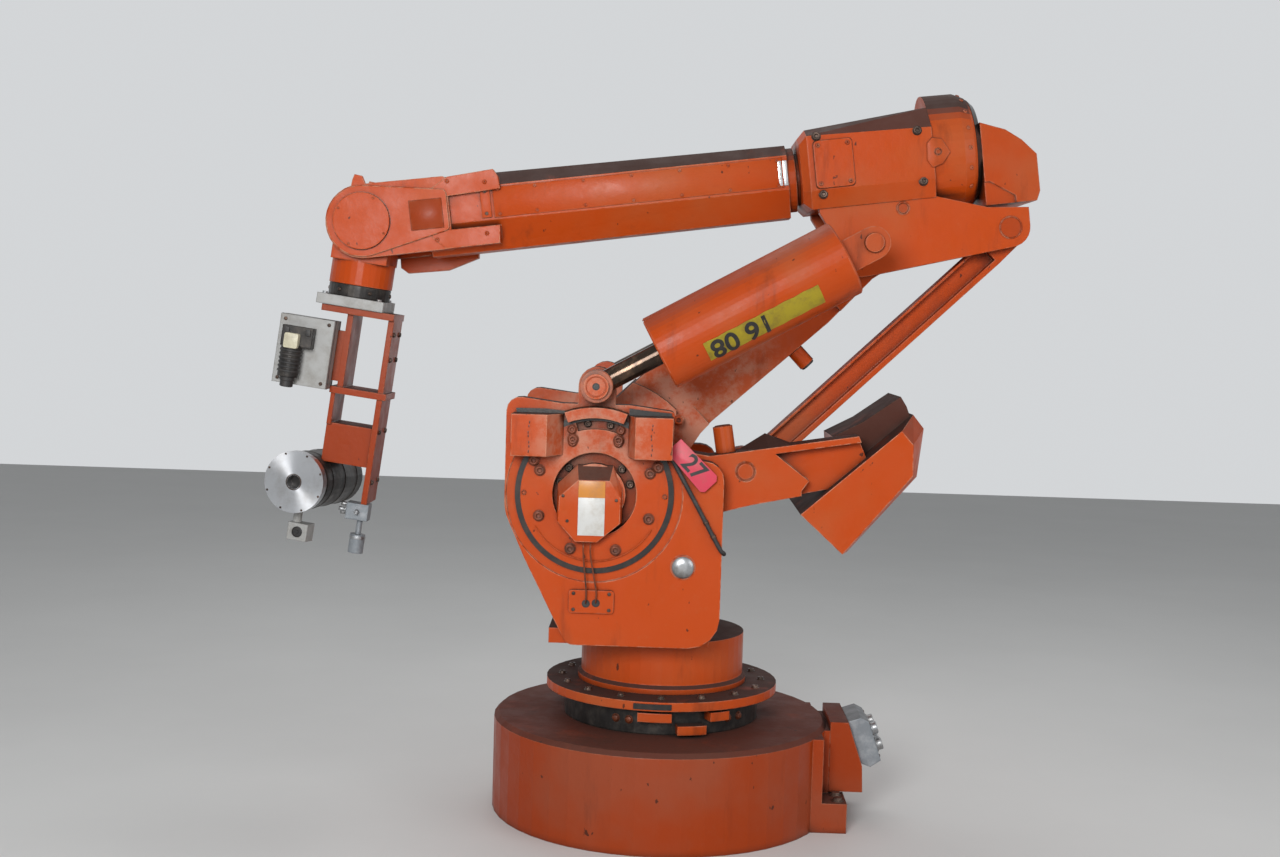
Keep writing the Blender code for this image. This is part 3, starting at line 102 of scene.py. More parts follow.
class Surface:
    """A Principled material with small helpers for its node tree."""

    def __init__(self, name, roughness=0.5, metallic=0.0):
        self.material = bpy.data.materials.new(name)
        self.material.use_nodes = True
        self.nodes = self.material.node_tree.nodes
        self.links = self.material.node_tree.links
        self.shader = self.nodes["Principled BSDF"]
        self.shader.inputs["Roughness"].default_value = roughness
        self.shader.inputs["Metallic"].default_value = metallic
        texture = self.nodes.new("ShaderNodeTexCoord")
        self.place = texture.outputs["Object"]
        self.normal = texture.outputs["Normal"]
        self.rounding = None

    def put(self, value, socket):
        """Links an output, or sets a number or a colour."""
        if isinstance(value, bpy.types.NodeSocket):
            self.links.new(value, socket)
        else:
            socket.default_value = value

    def noise(self, scale, detail=4.0, roughness=0.6, stretch=(1.0, 1.0, 1.0)):
        mapping = self.nodes.new("ShaderNodeMapping")
        mapping.inputs["Scale"].default_value = stretch
        self.links.new(self.place, mapping.inputs["Vector"])
        made = self.nodes.new("ShaderNodeTexNoise")
        made.inputs["Scale"].default_value = scale
        made.inputs["Detail"].default_value = detail
        made.inputs["Roughness"].default_value = roughness
        self.links.new(mapping.outputs[0], made.inputs["Vector"])
        return made.outputs["Fac"]

    def ramp(self, value, low, high, bottom=0.0, top=1.0):
        """Smooth step from one value to another, clamped at both."""
        made = self.nodes.new("ShaderNodeMapRange")
        made.interpolation_type = "SMOOTHSTEP"
        given = {"Value": value, "From Min": low, "From Max": high, "To Min": bottom, "To Max": top}
        for socket, amount in given.items():
            self.put(amount, made.inputs[socket])
        return made.outputs["Result"]

    def math(self, operation, first, second=0.0):
        made = self.nodes.new("ShaderNodeMath")
        made.operation = operation
        self.put(first, made.inputs[0])
        self.put(second, made.inputs[1])
        return made.outputs[0]

    def mix(self, factor, first, second):
        made = self.nodes.new("ShaderNodeMix")
        made.data_type = "RGBA"
        self.put(factor, made.inputs[0])
        for given, socket in ((first, made.inputs[6]), (second, made.inputs[7])):
            self.put((*given, 1.0) if isinstance(given, tuple) else given, socket)
        return made.outputs[2]

    def part_of(self, vector, letter):
        made = self.nodes.new("ShaderNodeSeparateXYZ")
        self.links.new(vector, made.inputs[0])
        return made.outputs[letter]

    def upward(self):
        """How far the rest surface faces up."""
        return self.part_of(self.normal, "Z")

    def vector(self, operation, first, second=(0.0, 0.0, 0.0)):
        made = self.nodes.new("ShaderNodeVectorMath")
        made.operation = operation
        self.put(first, made.inputs[0])
        self.put(second, made.inputs[1])
        return made.outputs["Value" if operation in ("LENGTH", "DOT_PRODUCT") else "Vector"]

    def round_about(self, centre, axis):
        """The direction round a line through a point, as long as the distance from it."""
        return self.vector("CROSS_PRODUCT", self.vector("SUBTRACT", self.place, centre), Vector(axis).normalized())

    def away(self, centre, axis):
        """Distance from that line."""
        return self.vector("LENGTH", self.round_about(centre, axis))

    def rounded(self):
        """The normal with its edges rounded, made once."""
        if self.rounding is None:
            self.rounding = self.nodes.new("ShaderNodeBevel")
            self.rounding.samples = 6
            self.rounding.inputs["Radius"].default_value = EDGE_RADIUS
        return self.rounding.outputs[0]

    def edges(self):
        """Near 1 close to an edge."""
        geometry = self.nodes.new("ShaderNodeNewGeometry")
        return self.ramp(self.vector("DOT_PRODUCT", self.rounded(), geometry.outputs["Normal"]), 0.995, 0.90)

    def crevices(self, distance):
        """Near 1 in corners and gaps, where shade falls."""
        made = self.nodes.new("ShaderNodeAmbientOcclusion")
        made.samples = 4
        made.inputs["Distance"].default_value = distance
        return self.ramp(made.outputs["AO"], 0.75, 0.25)

    def bump(self, height, distance, soft_edges=True):
        made = self.nodes.new("ShaderNodeBump")
        made.inputs["Distance"].default_value = distance
        self.links.new(height, made.inputs["Height"])
        if soft_edges:
            self.links.new(self.rounded(), made.inputs["Normal"])
        self.links.new(made.outputs[0], self.shader.inputs["Normal"])

    def done(self, colour, roughness=None):
        self.put((*colour, 1.0) if isinstance(colour, tuple) else colour, self.shader.inputs["Base Color"])
        if roughness is not None:
            self.put(roughness, self.shader.inputs["Roughness"])
        return self.material


def orange_paint(name="orange_enamel", worn=0.35, soiled=1.0, shade=1.0, bleach=None, recess_shade=False):
    """Old orange enamel: faded patches, dirt on what faces up, grime with painted shade in the corners, chips, rubbed
    edges that also paint edge highlights, and optionally painted shade on side faces near the middle plane.
    """
    made = Surface(name)
    made.shader.inputs["Specular IOR Level"].default_value = 0.20
    fresh, faded = [(red * shade, green * shade, blue) for red, green, blue in (FRESH, FADED)]
    colour = made.mix(made.ramp(made.noise(2.0), 0.44, 0.70), fresh, faded)
    colour = made.mix(made.ramp(made.noise(38.0, 6.0, 0.7), 0.54, 0.74, 0.0, 0.30), colour, faded)
    if bleach:
        centre, reach = bleach
        near = made.ramp(made.away(centre, (0.0, 1.0, 0.0)), reach, reach * 0.45)
        patches = made.ramp(made.noise(16.0, 7.0, 0.75), 0.38, 0.60, 0.12, 0.85)
        colour = made.mix(made.math("MULTIPLY", near, patches), colour, CHALKY)
    streaks = made.ramp(made.noise(9.0, 5.0, 0.7, (1.0, 1.0, 0.18)), 0.55, 0.74, 0.0, 0.36)
    colour = made.mix(streaks, colour, GRIME_AND_SHADE)
    chips = made.ramp(made.noise(55.0, 3.0, 0.5, (1.0, 1.0, 0.6)), 0.715, 0.735, 0.0, 0.80)
    colour = made.mix(chips, colour, GRIME_AND_SHADE)
    ragged = made.ramp(made.noise(45.0, 4.0), 0.35, 0.60)
    # Rubbed paint on the edges, lighter, also painting edge highlights
    colour = made.mix(made.math("MULTIPLY", made.math("MULTIPLY", made.edges(), ragged), worn), colour, RUBBED_AND_HIGHLIT)
    # Grime with painted shade in corners and gaps, from ambient occlusion
    colour = made.mix(made.math("MULTIPLY", made.crevices(0.04), 0.90), colour, GRIME_AND_SHADE)
    patchy = made.ramp(made.noise(6.0, 6.0, 0.7), 0.25, 0.45, 0.70, 1.0)
    settled = made.math("MULTIPLY", made.math("MULTIPLY", made.ramp(made.upward(), 0.45, 0.74), patchy), soiled)
    # Painted shade on side faces near the middle plane, in the recesses, mixed in with the dirt on what faces up
    if recess_shade:
        inner = made.ramp(made.math("ABSOLUTE", made.part_of(made.place, "Y")), 0.20, 0.14, 0.0, 0.93)
        sideways = made.ramp(made.math("ABSOLUTE", made.part_of(made.normal, "Y")), 0.75, 0.95)
        settled = made.math("MAXIMUM", settled, made.math("MULTIPLY", inner, sideways))
    colour = made.mix(made.math("MULTIPLY", settled, 0.95), colour, DIRT_AND_SHADE)
    rough = made.math("ADD", made.math("MULTIPLY", settled, 0.40), made.ramp(made.noise(14.0), 0.3, 0.7, 0.30, 0.46))
    made.bump(made.noise(60.0, 6.0, 0.6), 0.0006)
    return made.done(colour, rough)


def plain_metal(name, colour, worn, roughness, metallic, dusty=0.6):
    """Machined or painted metal with smears and settled dirt."""
    made = Surface(name, roughness, metallic)
    mixed = made.mix(made.ramp(made.noise(26.0, 6.0, 0.7), 0.4, 0.7), colour, worn)
    mixed = made.mix(made.math("MULTIPLY", made.ramp(made.upward(), 0.5, 0.95), dusty), mixed, DUST)
    made.bump(made.noise(90.0, 4.0), 0.0003)
    return made.done(mixed, made.ramp(made.noise(18.0), 0.3, 0.7, roughness - 0.08, roughness + 0.12))


def oiled_rod():
    """A dark oily rod whose painted eyes are at the balance pivots."""
    made = Surface("oiled_rod", 0.3, 0.8)
    oiled = made.ramp(made.noise(30.0, 5.0, 0.7, (1.0, 1.0, 0.4)), 0.4, 0.7)
    steel = made.mix(oiled, (0.045, 0.030, 0.022), (0.14, 0.085, 0.055))
    paint = made.mix(made.ramp(made.noise(20.0), 0.4, 0.7), (0.42, 0.10, 0.035), (0.16, 0.06, 0.035))
    shank = made.ramp(made.away(JOINTS["left_rod_hinge"]["pos_m"], (0.0, 1.0, 0.0)), *ROD_EYE)
    made.put(made.ramp(shank, 0.0, 1.0, 0.0, 0.85), made.shader.inputs["Metallic"])
    made.bump(made.noise(80.0, 4.0), 0.0003)
    return made.done(made.mix(shank, paint, steel), made.ramp(shank, 0.0, 1.0, 0.45, 0.24))


def turned_disc():
    """Bright metal faced on a lathe: its gloss is drawn out round the hole."""
    made = Surface("turned_aluminium", 0.36, 1.0)
    made.shader.inputs["Anisotropic"].default_value = 0.8
    axis = SPINDLE.to_3x3() @ Vector((0.0, 1.0, 0.0))
    made.put(made.vector("NORMALIZE", made.round_about(SPINDLE.translation, axis)), made.shader.inputs["Tangent"])
    stain = made.ramp(made.noise(14.0, 5.0, 0.7), 0.45, 0.75, 0.0, 0.45)
    return made.done(made.mix(stain, (0.56, 0.57, 0.59), (0.30, 0.28, 0.26)))


def sleeve(name, colour, worn, roughness=0.5, scale=40.0):
    """Rubber, plastic, film or card, with fine wear."""
    made = Surface(name, roughness)
    made.bump(made.noise(scale * 4, 4.0), 0.0002, False)
    return made.done(made.mix(made.ramp(made.noise(scale, 6.0, 0.7), 0.42, 0.70), colour, worn))


def striped_foil():
    """Reflective tape with a fine lattice."""
    made = Surface("reflective_foil", 0.22, 0.7)
    lattice = made.nodes.new("ShaderNodeTexVoronoi")
    lattice.inputs["Scale"].default_value = 260.0
    made.links.new(made.place, lattice.inputs["Vector"])
    made.bump(lattice.outputs["Distance"], 0.0003, False)
    return made.done(made.mix(made.ramp(made.noise(50.0), 0.4, 0.7), (0.80, 0.82, 0.84), (0.52, 0.52, 0.50)))


PAINT = orange_paint()
FINISHES = {
    "orange_paint": PAINT,
    "dark_steel": plain_metal("oiled_dark_steel", (0.022, 0.020, 0.019), (0.060, 0.052, 0.045), 0.42, 0.5),
    "bright_steel": plain_metal("machined_steel", (0.44, 0.44, 0.43), (0.26, 0.25, 0.24), 0.38, 0.9, 0.3),
    "pale_paint": plain_metal("pale_enamel", (0.37, 0.37, 0.36), (0.28, 0.27, 0.25), 0.45, 0.0, 0.5),
    "grey_metal": plain_metal("grey_panel", (0.22, 0.24, 0.26), (0.34, 0.36, 0.38), 0.5, 0.3, 0.5),
}
# More rubbed and lighter edges, partly painted edge highlights
WORN_HIGHLIT_PAINT = orange_paint("rubbed_highlit_enamel", 0.95)
# Enamel with painted shade on its recessed side faces, for the counterweight
RECESS_SHADED_PAINT = orange_paint("recess_shaded_enamel", 0.95, recess_shade=True)
CLEAN_PAINT = orange_paint("clean_enamel", 0.45, 0.35, 0.92)
# A darker copy of the enamel; on the base casting it paints shade where the light falls off
DARK_PAINT = orange_paint("darker_enamel", 0.3, 0.8, 0.66)
CROWN_PAINT = orange_paint("bleached_enamel", 0.8, bleach=((0.188, 0.0, 1.060), 0.20))
ROOT_PAINT = orange_paint("bleached_casting", 0.95, bleach=((0.0, 0.0, 1.130), 0.42))
NODE_FINISHES = {
    "counterweight": RECESS_SHADED_PAINT, "lower_arm": ROOT_PAINT, "forearm": WORN_HIGHLIT_PAINT, "parallel_arm": WORN_HIGHLIT_PAINT,
    # The base casting's darker enamel is painted shade
    "tool_bracket": DARK_PAINT, "base_casting": DARK_PAINT, "connector_box": DARK_PAINT, "spindle_disc": turned_disc(),
    "wrist_motor_cover": CLEAN_PAINT, "parallel_rod": CLEAN_PAINT, "lower_link_pin": CLEAN_PAINT,
    "upper_link_pin": CLEAN_PAINT, "elbow_pin": CLEAN_PAINT,
}
SIDE_FINISHES = {
    "side_plate": CROWN_PAINT, "drive_flange": CROWN_PAINT, "drive_motor": CROWN_PAINT, "crown_bracket": CROWN_PAINT,
    "front_stop_block": CROWN_PAINT, "rear_stop_block": CROWN_PAINT, "balance_pivot": CROWN_PAINT,
    "balance_can": CLEAN_PAINT, "balance_rod": oiled_rod(),
}
NODE_FINISHES.update({f"{word}_{part}": finish for _, word in SIDES for part, finish in SIDE_FINISHES.items()})
SCREW = plain_metal("blackened_screw", (0.055, 0.038, 0.030), (0.20, 0.13, 0.10), 0.40, 0.7, 0.2)
PAINTED_SCREW = orange_paint("painted_screw", 0.7, 0.5, 0.8)
BROWNED = plain_metal("oiled_enamel", (0.21, 0.050, 0.018), (0.060, 0.026, 0.016), 0.38, 0.2, 0.2)
ZINC = plain_metal("zinc_plate", (0.38, 0.39, 0.40), (0.24, 0.23, 0.22), 0.34, 0.9, 0.2)
RUBBER = sleeve("black_rubber", (0.016, 0.015, 0.015), (0.045, 0.038, 0.034), 0.55)
# Dark grease, also used for the painted shadow films above the stop blocks
GREASE_AND_SHADOW = sleeve("old_grease_and_painted_shadow", (0.010, 0.008, 0.007), (0.035, 0.022, 0.014), 0.30)
CARD = sleeve("white_film", (0.62, 0.62, 0.60), (0.50, 0.47, 0.42), 0.35, 18.0)
AMBER = sleeve("amber_film", (0.62, 0.24, 0.035), (0.48, 0.20, 0.06), 0.35, 18.0)
TAG_PINK = sleeve("pink_card", (0.62, 0.045, 0.085), (0.48, 0.08, 0.09), 0.45, 25.0)
TAPE_YELLOW = sleeve("yellow_tape", (0.62, 0.50, 0.035), (0.42, 0.30, 0.045), 0.40, 22.0)
MARKER = sleeve("black_marker", (0.012, 0.011, 0.011), (0.030, 0.026, 0.024), 0.5)
CREAM = sleeve("cream_plastic", (0.62, 0.58, 0.42), (0.45, 0.41, 0.30), 0.42)
FOIL = striped_foil()


def soft_shading():
    """A modifier that shades round forms smoothly and keeps real edges sharp."""
    group = bpy.data.node_groups.new("soft_shading", "GeometryNodeTree")
    group.interface.new_socket("Geometry", in_out="INPUT", socket_type="NodeSocketGeometry")
    group.interface.new_socket("Geometry", in_out="OUTPUT", socket_type="NodeSocketGeometry")
    make, link_up = group.nodes.new, group.links.new
    given, result = make("NodeGroupInput"), make("NodeGroupOutput")
    bare = make("GeometryNodeRemoveAttribute")
    faces, edges = make("GeometryNodeSetShadeSmooth"), make("GeometryNodeSetShadeSmooth")
    bare.inputs["Name"].default_value = "custom_normal"
    edges.domain = "EDGE"
    edges.inputs["Shade Smooth"].default_value = False
    angle, wide = make("GeometryNodeInputMeshEdgeAngle"), make("FunctionNodeCompare")
    wide.data_type, wide.operation = "FLOAT", "GREATER_THAN"
    wide.inputs["B"].default_value = radians(SHARP_NODE)
    link_up(angle.outputs["Unsigned Angle"], wide.inputs["A"])
    link_up(wide.outputs["Result"], edges.inputs["Selection"])
    chain = (given, bare, faces, edges, result)
    for first, second in zip(chain, chain[1:]):
        link_up(first.outputs[0], second.inputs[0])
    return group


def dress_nodes():
    """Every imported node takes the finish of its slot, or its own, and soft shading."""
    group = soft_shading()
    for row in frame["record"]["subparts"]:
        node = NODES[row["node"]]
        node.modifiers.new("soft_shading", "NODES").node_group = group
        node.data.materials.clear()
        node.data.materials.append(NODE_FINISHES.get(row["node"]) or FINISHES[row["material_slot"]])


def top(node, axis):
    """The node's highest place along an axis, 0 to 2."""
    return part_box(node)[1][axis]


def finished(name, shape, finish, body, place=WORLD, smooth=SHARP_PIECE):
    """A bmesh as one piece that rides on a body."""
    shape.transform(place)
    bmesh.ops.recalc_face_normals(shape, faces=shape.faces)
    data = bpy.data.meshes.new(name)
    shape.to_mesh(data)
    shape.free()
    data.shade_smooth()
    data.set_sharp_from_angle(angle=radians(smooth))
    data.materials.append(finish)
    made = bpy.data.objects.new(name, data)
    bpy.context.scene.collection.objects.link(made)
    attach(made, body)


def hexagon(flat):
    """A radius for each turn that draws a hexagon, given half its width across the flats."""
    return lambda turn: flat / cos((turn + pi / 6) % (pi / 3) - pi / 6)


def lathe(rows, steps=24):
    """A closed solid round +Z from (radius, height) rows; a radius may follow the turn, and the ends are capped."""
    shape = bmesh.new()
    rings = []
    for radius, height in rows:
        turns = [2 * pi * i / steps for i in range(steps)]
        radii = [radius(turn) if callable(radius) else radius for turn in turns]
        rings.append([shape.verts.new((r * cos(t), r * sin(t), height)) for r, t in zip(radii, turns)])
    for low, high in zip(rings, rings[1:]):
        for i in range(steps):
            j = (i + 1) % steps
            shape.faces.new((low[i], low[j], high[j], high[i]))
    shape.faces.new(rings[0])
    shape.faces.new(rings[-1])
    return shape


def cap_screw(radius):
    """A round head with a hexagon socket, on a thin washer."""
    rim, high, socket = radius * 1.28, radius * 0.85, hexagon(radius * 0.50)
    return lathe([
        (rim, -SUNK), (rim, radius * 0.14), (radius, radius * 0.16), (radius, high * 0.88), (radius * 0.92, high),
        (radius * 0.62, high), (socket, high * 0.97), (socket, high * 0.35),
    ])


def hex_bolt(radius):
    """A hexagon head with a chamfered top, on a washer."""
    rim, flat, high = radius * 1.35, hexagon(radius * 0.88), radius * 0.75
    return lathe([(rim, 0.0), (rim, radius * 0.14), (flat, radius * 0.16), (flat, high * 0.9), (radius * 0.80, high)])


def pan_screw(radius):
    """A low domed head with a small hexagon recess."""
    recess = hexagon(radius * 0.26)
    return lathe([
        (radius, -SUNK), (radius, radius * 0.30), (radius * 0.75, radius * 0.52), (radius * 0.35, radius * 0.60),
        (recess, radius * 0.58), (recess, radius * 0.25),
    ], 18)


def dimple(radius):
    """A shallow round recess drawn as a ring with a sunken floor."""
    lip, floor = radius * 0.10, radius * 0.02
    return lathe([(radius * 1.25, 0.0), (radius * 1.18, lip), (radius, lip), (radius * 0.94, floor)])


def cast(node, point, way):
    """Where a line meets a node's surface, and the normal there."""
    if node not in TREES:
        TREES[node] = BVHTree.FromObject(NODES[node], bpy.context.evaluated_depsgraph_get())
    hit, normal, _, _ = TREES[node].ray_cast(Vector(point), Vector(way).normalized())
    return hit, normal


def facing(place, direction):
    """A matrix that turns +Z to a direction at a place."""
    return Matrix.Translation(place) @ Vector(direction).to_track_quat("Z", "Y").to_matrix().to_4x4()


def stood(shape, place, way):
    """A shape with its +Z turned to a direction at a place."""
    shape.transform(facing(place, way))
    return shape


def hoop(rows, steps, place, way):
    """A lathed band without its two flat ends."""
    shape = lathe(rows, steps)
    bmesh.ops.delete(shape, geom=[face for face in shape.faces if len(face.verts) > 4], context="FACES_ONLY")
    return stood(shape, place, way)


def joined(shapes):
    """Several bmeshes as one."""
    whole = bmesh.new()
    for shape in shapes:
        data = bpy.data.meshes.new("part")
        shape.to_mesh(data)
        shape.free()
        whole.from_mesh(data)
        bpy.data.meshes.remove(data)
    return whole


def fasteners(name, make, radius, points, direction, body, finish, place=WORLD):
    """The same fastener at several points, all facing one way."""
    shapes = [stood(make(radius), point, direction) for point in points]
    finished(name, joined(shapes), finish, body, place)


def slab(outline, low, high, bevel, side=1):
    """An (x, z) outline as a thin plate between two places along Y, with its outer edges eased."""
    shape = bmesh.new()
    near = [shape.verts.new((x, side * low, z)) for x, z in outline]
    far = [shape.verts.new((x, side * high, z)) for x, z in outline]
    for i in range(len(outline)):
        j = (i + 1) % len(outline)
        shape.faces.new((near[i], near[j], far[j], far[i]))
    shape.faces.new(near)
    lid = shape.faces.new(far)
    if bevel:
        bmesh.ops.recalc_face_normals(shape, faces=shape.faces)
        bmesh.ops.bevel(shape, geom=list(lid.edges), offset=bevel, segments=2, profile=0.5, affect="EDGES")
    return shape


def rectangle(x, z, wide, high, corner=0.0):
    """An outline round a centre, with its corners rounded."""
    points = []
    for sx, sz, start in ((1, 1, 0), (-1, 1, 90), (-1, -1, 180), (1, -1, 270)):
        cx, cz = x + sx * (wide / 2 - corner), z + sz * (high / 2 - corner)
        turns = range(0, 91, 30) if corner else (0,)
        points += [(cx + corner * cos(radians(start + t)), cz + corner * sin(radians(start + t))) for t in turns]
    return points


def ring(inner, outer, low, high, steps, start=0.0, sweep=360.0, side=1):
    """A flat ring, or a part of one, round Y."""
    shape = bmesh.new()
    count = steps if sweep < 360.0 else steps - 1
    rows = []
    for i in range(count + 1):
        turn = radians(start + sweep * i / steps)
        section = ((inner, low), (outer, low), (outer, high), (inner, high))
        rows.append([shape.verts.new((r * cos(turn), side * y, r * sin(turn))) for r, y in section])
    pairs = list(zip(rows, rows[1:])) + ([(rows[-1], rows[0])] if sweep >= 360.0 else [])
    for first, last in pairs:
        for i in range(4):
            j = (i + 1) % 4
            shape.faces.new((first[i], first[j], last[j], last[i]))
    if sweep < 360.0:
        shape.faces.new(rows[0])
        shape.faces.new(rows[-1])
    return shape


def smooth_path(points, steps=8):
    """A Catmull-Rom path through the points."""
    given = [Vector(p) for p in points]
    given = [given[0] * 2 - given[1]] + given + [given[-1] * 2 - given[-2]]
    path = []
    for a, b, c, d in zip(given, given[1:], given[2:], given[3:]):
        for i in range(steps):
            t = i / steps
            bend, twist = 2 * a - 5 * b + 4 * c - d, 3 * b - a - 3 * c + d
            path.append(0.5 * (2 * b + (c - a) * t + bend * t * t + twist * t ** 3))
    path.append(given[-2])
    return path


def wire(name, points, radius, finish, body, place=WORLD):
    """A round cable along a smooth path."""
    path = [place @ p for p in smooth_path(points)]
    shape = bmesh.new()
    rows, sides, across = [], 12, Vector(ALONG_Z)
    turns = [2 * pi * k / sides for k in range(sides)]
    for i, here in enumerate(path):
        way = (path[min(i + 1, len(path) - 1)] - path[max(i - 1, 0)]).normalized()
        along = across.dot(way)
        across = (across - way * along if abs(along) < 0.999 else way.orthogonal()).normalized()
        other = way.cross(across)
        rows.append([shape.verts.new(here + (across * cos(turn) + other * sin(turn)) * radius) for turn in turns])
    for low, high in zip(rows, rows[1:]):
        for k in range(sides):
            shape.faces.new((low[k], low[(k + 1) % sides], high[(k + 1) % sides], high[k]))
    shape.faces.new(rows[0])
    shape.faces.new(rows[-1])
    finished(name, shape, finish, body, smooth=SHARP_WIRE)


def figures(words, tall):
    """Plain figures as a thin bmesh in X and Y, centred."""
    curve = bpy.data.curves.new("figures", "FONT")
    curve.body, curve.size = words, tall
    curve.align_x = curve.align_y = "CENTER"
    curve.extrude, curve.offset = 0.0003, tall * 0.022
    made = bpy.data.objects.new("figures", curve)
    data = made.to_mesh()
    shape = bmesh.new()
    shape.from_mesh(data)
    made.to_mesh_clear()
    bpy.data.objects.remove(made)
    bpy.data.curves.remove(curve)
    bmesh.ops.subdivide_edges(shape, edges=shape.edges, cuts=2)
    return shape


def turned(rows, steps=24):
    """A maker of lathed fittings, from shares of the radius and heights."""
    return lambda radius: lathe([(radius * share, height) for share, height in rows], steps)


plug_face = turned(((1.0, 0.0), (1.0, 0.0008), (0.97, 0.0012), (0.25, 0.0016)), 40)
rubber_pad = turned(((1.0, 0.0), (1.0, 0.004), (0.85, 0.006)))
lever_pad = turned(((1.0, 0.0), (1.0, 0.0015), (0.9, 0.003)))
pin_cap = turned(((1.0, 0.0), (1.0, 0.0010), (0.93, 0.0012), (0.90, 0.0004)), 40)
cheek_ring = turned(((1.12, 0.0), (1.12, 0.0012), (1.04, 0.0016), (1.0, 0.0006)), 40)
socket_face = turned(((1.0, 0.0), (1.0, 0.0020), (0.86, 0.0030), (0.80, 0.0010), (0.35, 0.0012), (0.30, 0.0030)), 28)


def circle(radius, count, first):
    """(x, z) places round Y, the first at a turn in degrees."""
    turns = [radians(first + 360.0 * i / count) for i in range(count)]
    return [(radius * cos(turn), radius * sin(turn)) for turn in turns]


def side_fasteners(name, make, radius, places, face, body, finish, place, side=1):
    """Fasteners at (x, z) places on a face that looks along Y."""
    points = [(x, side * face, z) for x, z in places]
    fasteners(name, make, radius, points, (0, side, 0), body, finish, place)


# On each side of the turret: name, kind, radius, depth below the plate's face, finish, (x, z) from the second axis
TURRET_SCREWS = (
    ("flange_screws", cap_screw, 0.0112, 0.0, BROWNED, circle(0.153, 8, 22.5)),
    ("rim_screws", cap_screw, 0.0112, 0.0, BROWNED, ((0.1575, 0.084), (-0.162, 0.075))),
    ("crown_screws", cap_screw, 0.0094, 0.0, BROWNED,
     ((0.0615, 0.166), (0.0590, 0.1335), (-0.0635, 0.167), (-0.0580, 0.1345))),
    ("slot_screws", cap_screw, 0.0075, 0.018, SCREW, ((0.022, 0.181), (-0.036, 0.178))),
    ("motor_screws", cap_screw, 0.0088, 0.030, SCREW,
     ((0.0685, 0.0650), (-0.0685, 0.0650), (0.0905, 0.0265), (-0.0905, 0.0265))),
    ("puller_holes", dimple, 0.0052, 0.0, PAINTED_SCREW, ((0.181, 0.0), (-0.181, 0.0))),
)
GROOVE_RADII, GROOVE_DEEP, GROOVE_SHALLOW = (0.1903, 0.2042), 0.0080, 0.0034
STEP_RADII, STEP_START, STEP_SWEEP = (0.1705, 0.1735), -150.0, 120.0
PIVOT_RADII = (0.0235, 0.0262)
SEAM_PLACES, SEAM_MARKS, SEAM_LOW, SEAM_PITCH = (0.166, -0.144), 7, 0.112, 0.0125  # cracks in the stop blocks' paint
# Dark films on the side plate just above the stop blocks, painting the shadow of the recess there; (x, z) from the
# second axis
STOP_SHADOW_FILMS = (
    ((0.204, 0.2065), (0.206, 0.217), (0.131, 0.2175), (0.080, 0.213), (0.080, 0.2065)),
    ((-0.084, 0.2065), (-0.084, 0.224), (-0.134, 0.2186), (-0.1925, 0.2146), (-0.1925, 0.2065)),
)


def turret_sides():
    """What is screwed to, or lies on, both sides of the turret."""
    plate = top("left_side_plate", 1)
    pivot = Matrix.Translation(JOINTS["left_rod_hinge"]["pos_m"])
    for side, word in SIDES:
        for name, make, radius, depth, finish, places in TURRET_SCREWS:
            side_fasteners(f"{word}_{name}", make, radius, places, plate - depth, "turret", finish, HUB, side)
        groove = ring(*GROOVE_RADII, plate - GROOVE_DEEP, plate - GROOVE_SHALLOW, 96, side=side)
        finished(f"{word}_groove_grease", groove, GREASE_AND_SHADOW, "turret", HUB)
        step = ring(*STEP_RADII, plate + CLOSE, plate + 0.0009, 72, STEP_START, STEP_SWEEP, side=side)
        finished(f"{word}_flange_step", step, PAINT, "turret", HUB)
        cap = top("left_balance_pivot", 1) if side > 0 else -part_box("right_balance_pivot")[0][1]
        side_fasteners(f"{word}_pivot_centre", dimple, 0.0075, [(0.0, 0.0)], cap, "turret", GREASE_AND_SHADOW, pivot, side)
        collar = ring(*PIVOT_RADII, cap + CLOSE, cap + 0.0012, 40, side=side)
        finished(f"{word}_pivot_ring", collar, CLEAN_PAINT, "turret", pivot)
    face = top("left_front_stop_block", 1)
    marks = []
    for x in SEAM_PLACES:
        for k in range(SEAM_MARKS):
            sway, lift = 0.0016 * sin(5.0 * k), 0.002 * sin(9.0 * k)
            mark = rectangle(x + sway, SEAM_LOW + SEAM_PITCH * k + lift, 0.0022, 0.0070, 0.0008)
            marks.append(slab(mark, face, face + 0.0008, FILM_EDGE))
    # Painted shadow above the stop blocks
    shadow_films = [slab(outline, plate + CLOSE, plate + 0.0006, 0.0) for outline in STOP_SHADOW_FILMS]
    finished("stop_block_painted_shadow", joined(shadow_films), GREASE_AND_SHADOW, "turret", HUB)
    finished("stop_block_seams", joined(marks), GREASE_AND_SHADOW, "turret", HUB)


# The left side's fittings, (x, z) from the second axis unless said
MOTOR_LABEL, MOTOR_BAND = (0.005, -0.0535, 0.068, 0.097), (0.005, 0.0165, 0.068, 0.043)  # centre, width and height
MOTOR_SCREWS = ((0.078, -0.002), (-0.058, -0.010), (0.066, -0.066))
CABLE_PLATE_SCREWS = [(x, z) for x in (-0.046, 0.046) for z in (-0.021, 0.021)]  # from the cable plate's middle
LEADS = (("a", 0.023, (0.0137, -0.005)), ("b", 0.005, (-0.0119, -0.003)))  # name, x at the motor, grommet
LEAD_RADIUS, SIDE_CABLE_RADIUS = 0.0021, 0.0056
PLUG_PLACE = (-0.045, 0.719)  # in the world
SIDE_CABLE = (  # x, height over the side plate's face, z, in the world
    (-0.010, 0.0052, 0.996), (-0.016, 0.0050, 0.985), (-0.076, 0.0050, 0.880), (-0.134, 0.0052, 0.777),
    (-0.1478, 0.0022, 0.760), (-0.1500, -0.016, 0.755), (-0.1497, -0.050, 0.752), (-0.138, -0.0665, 0.748),
)
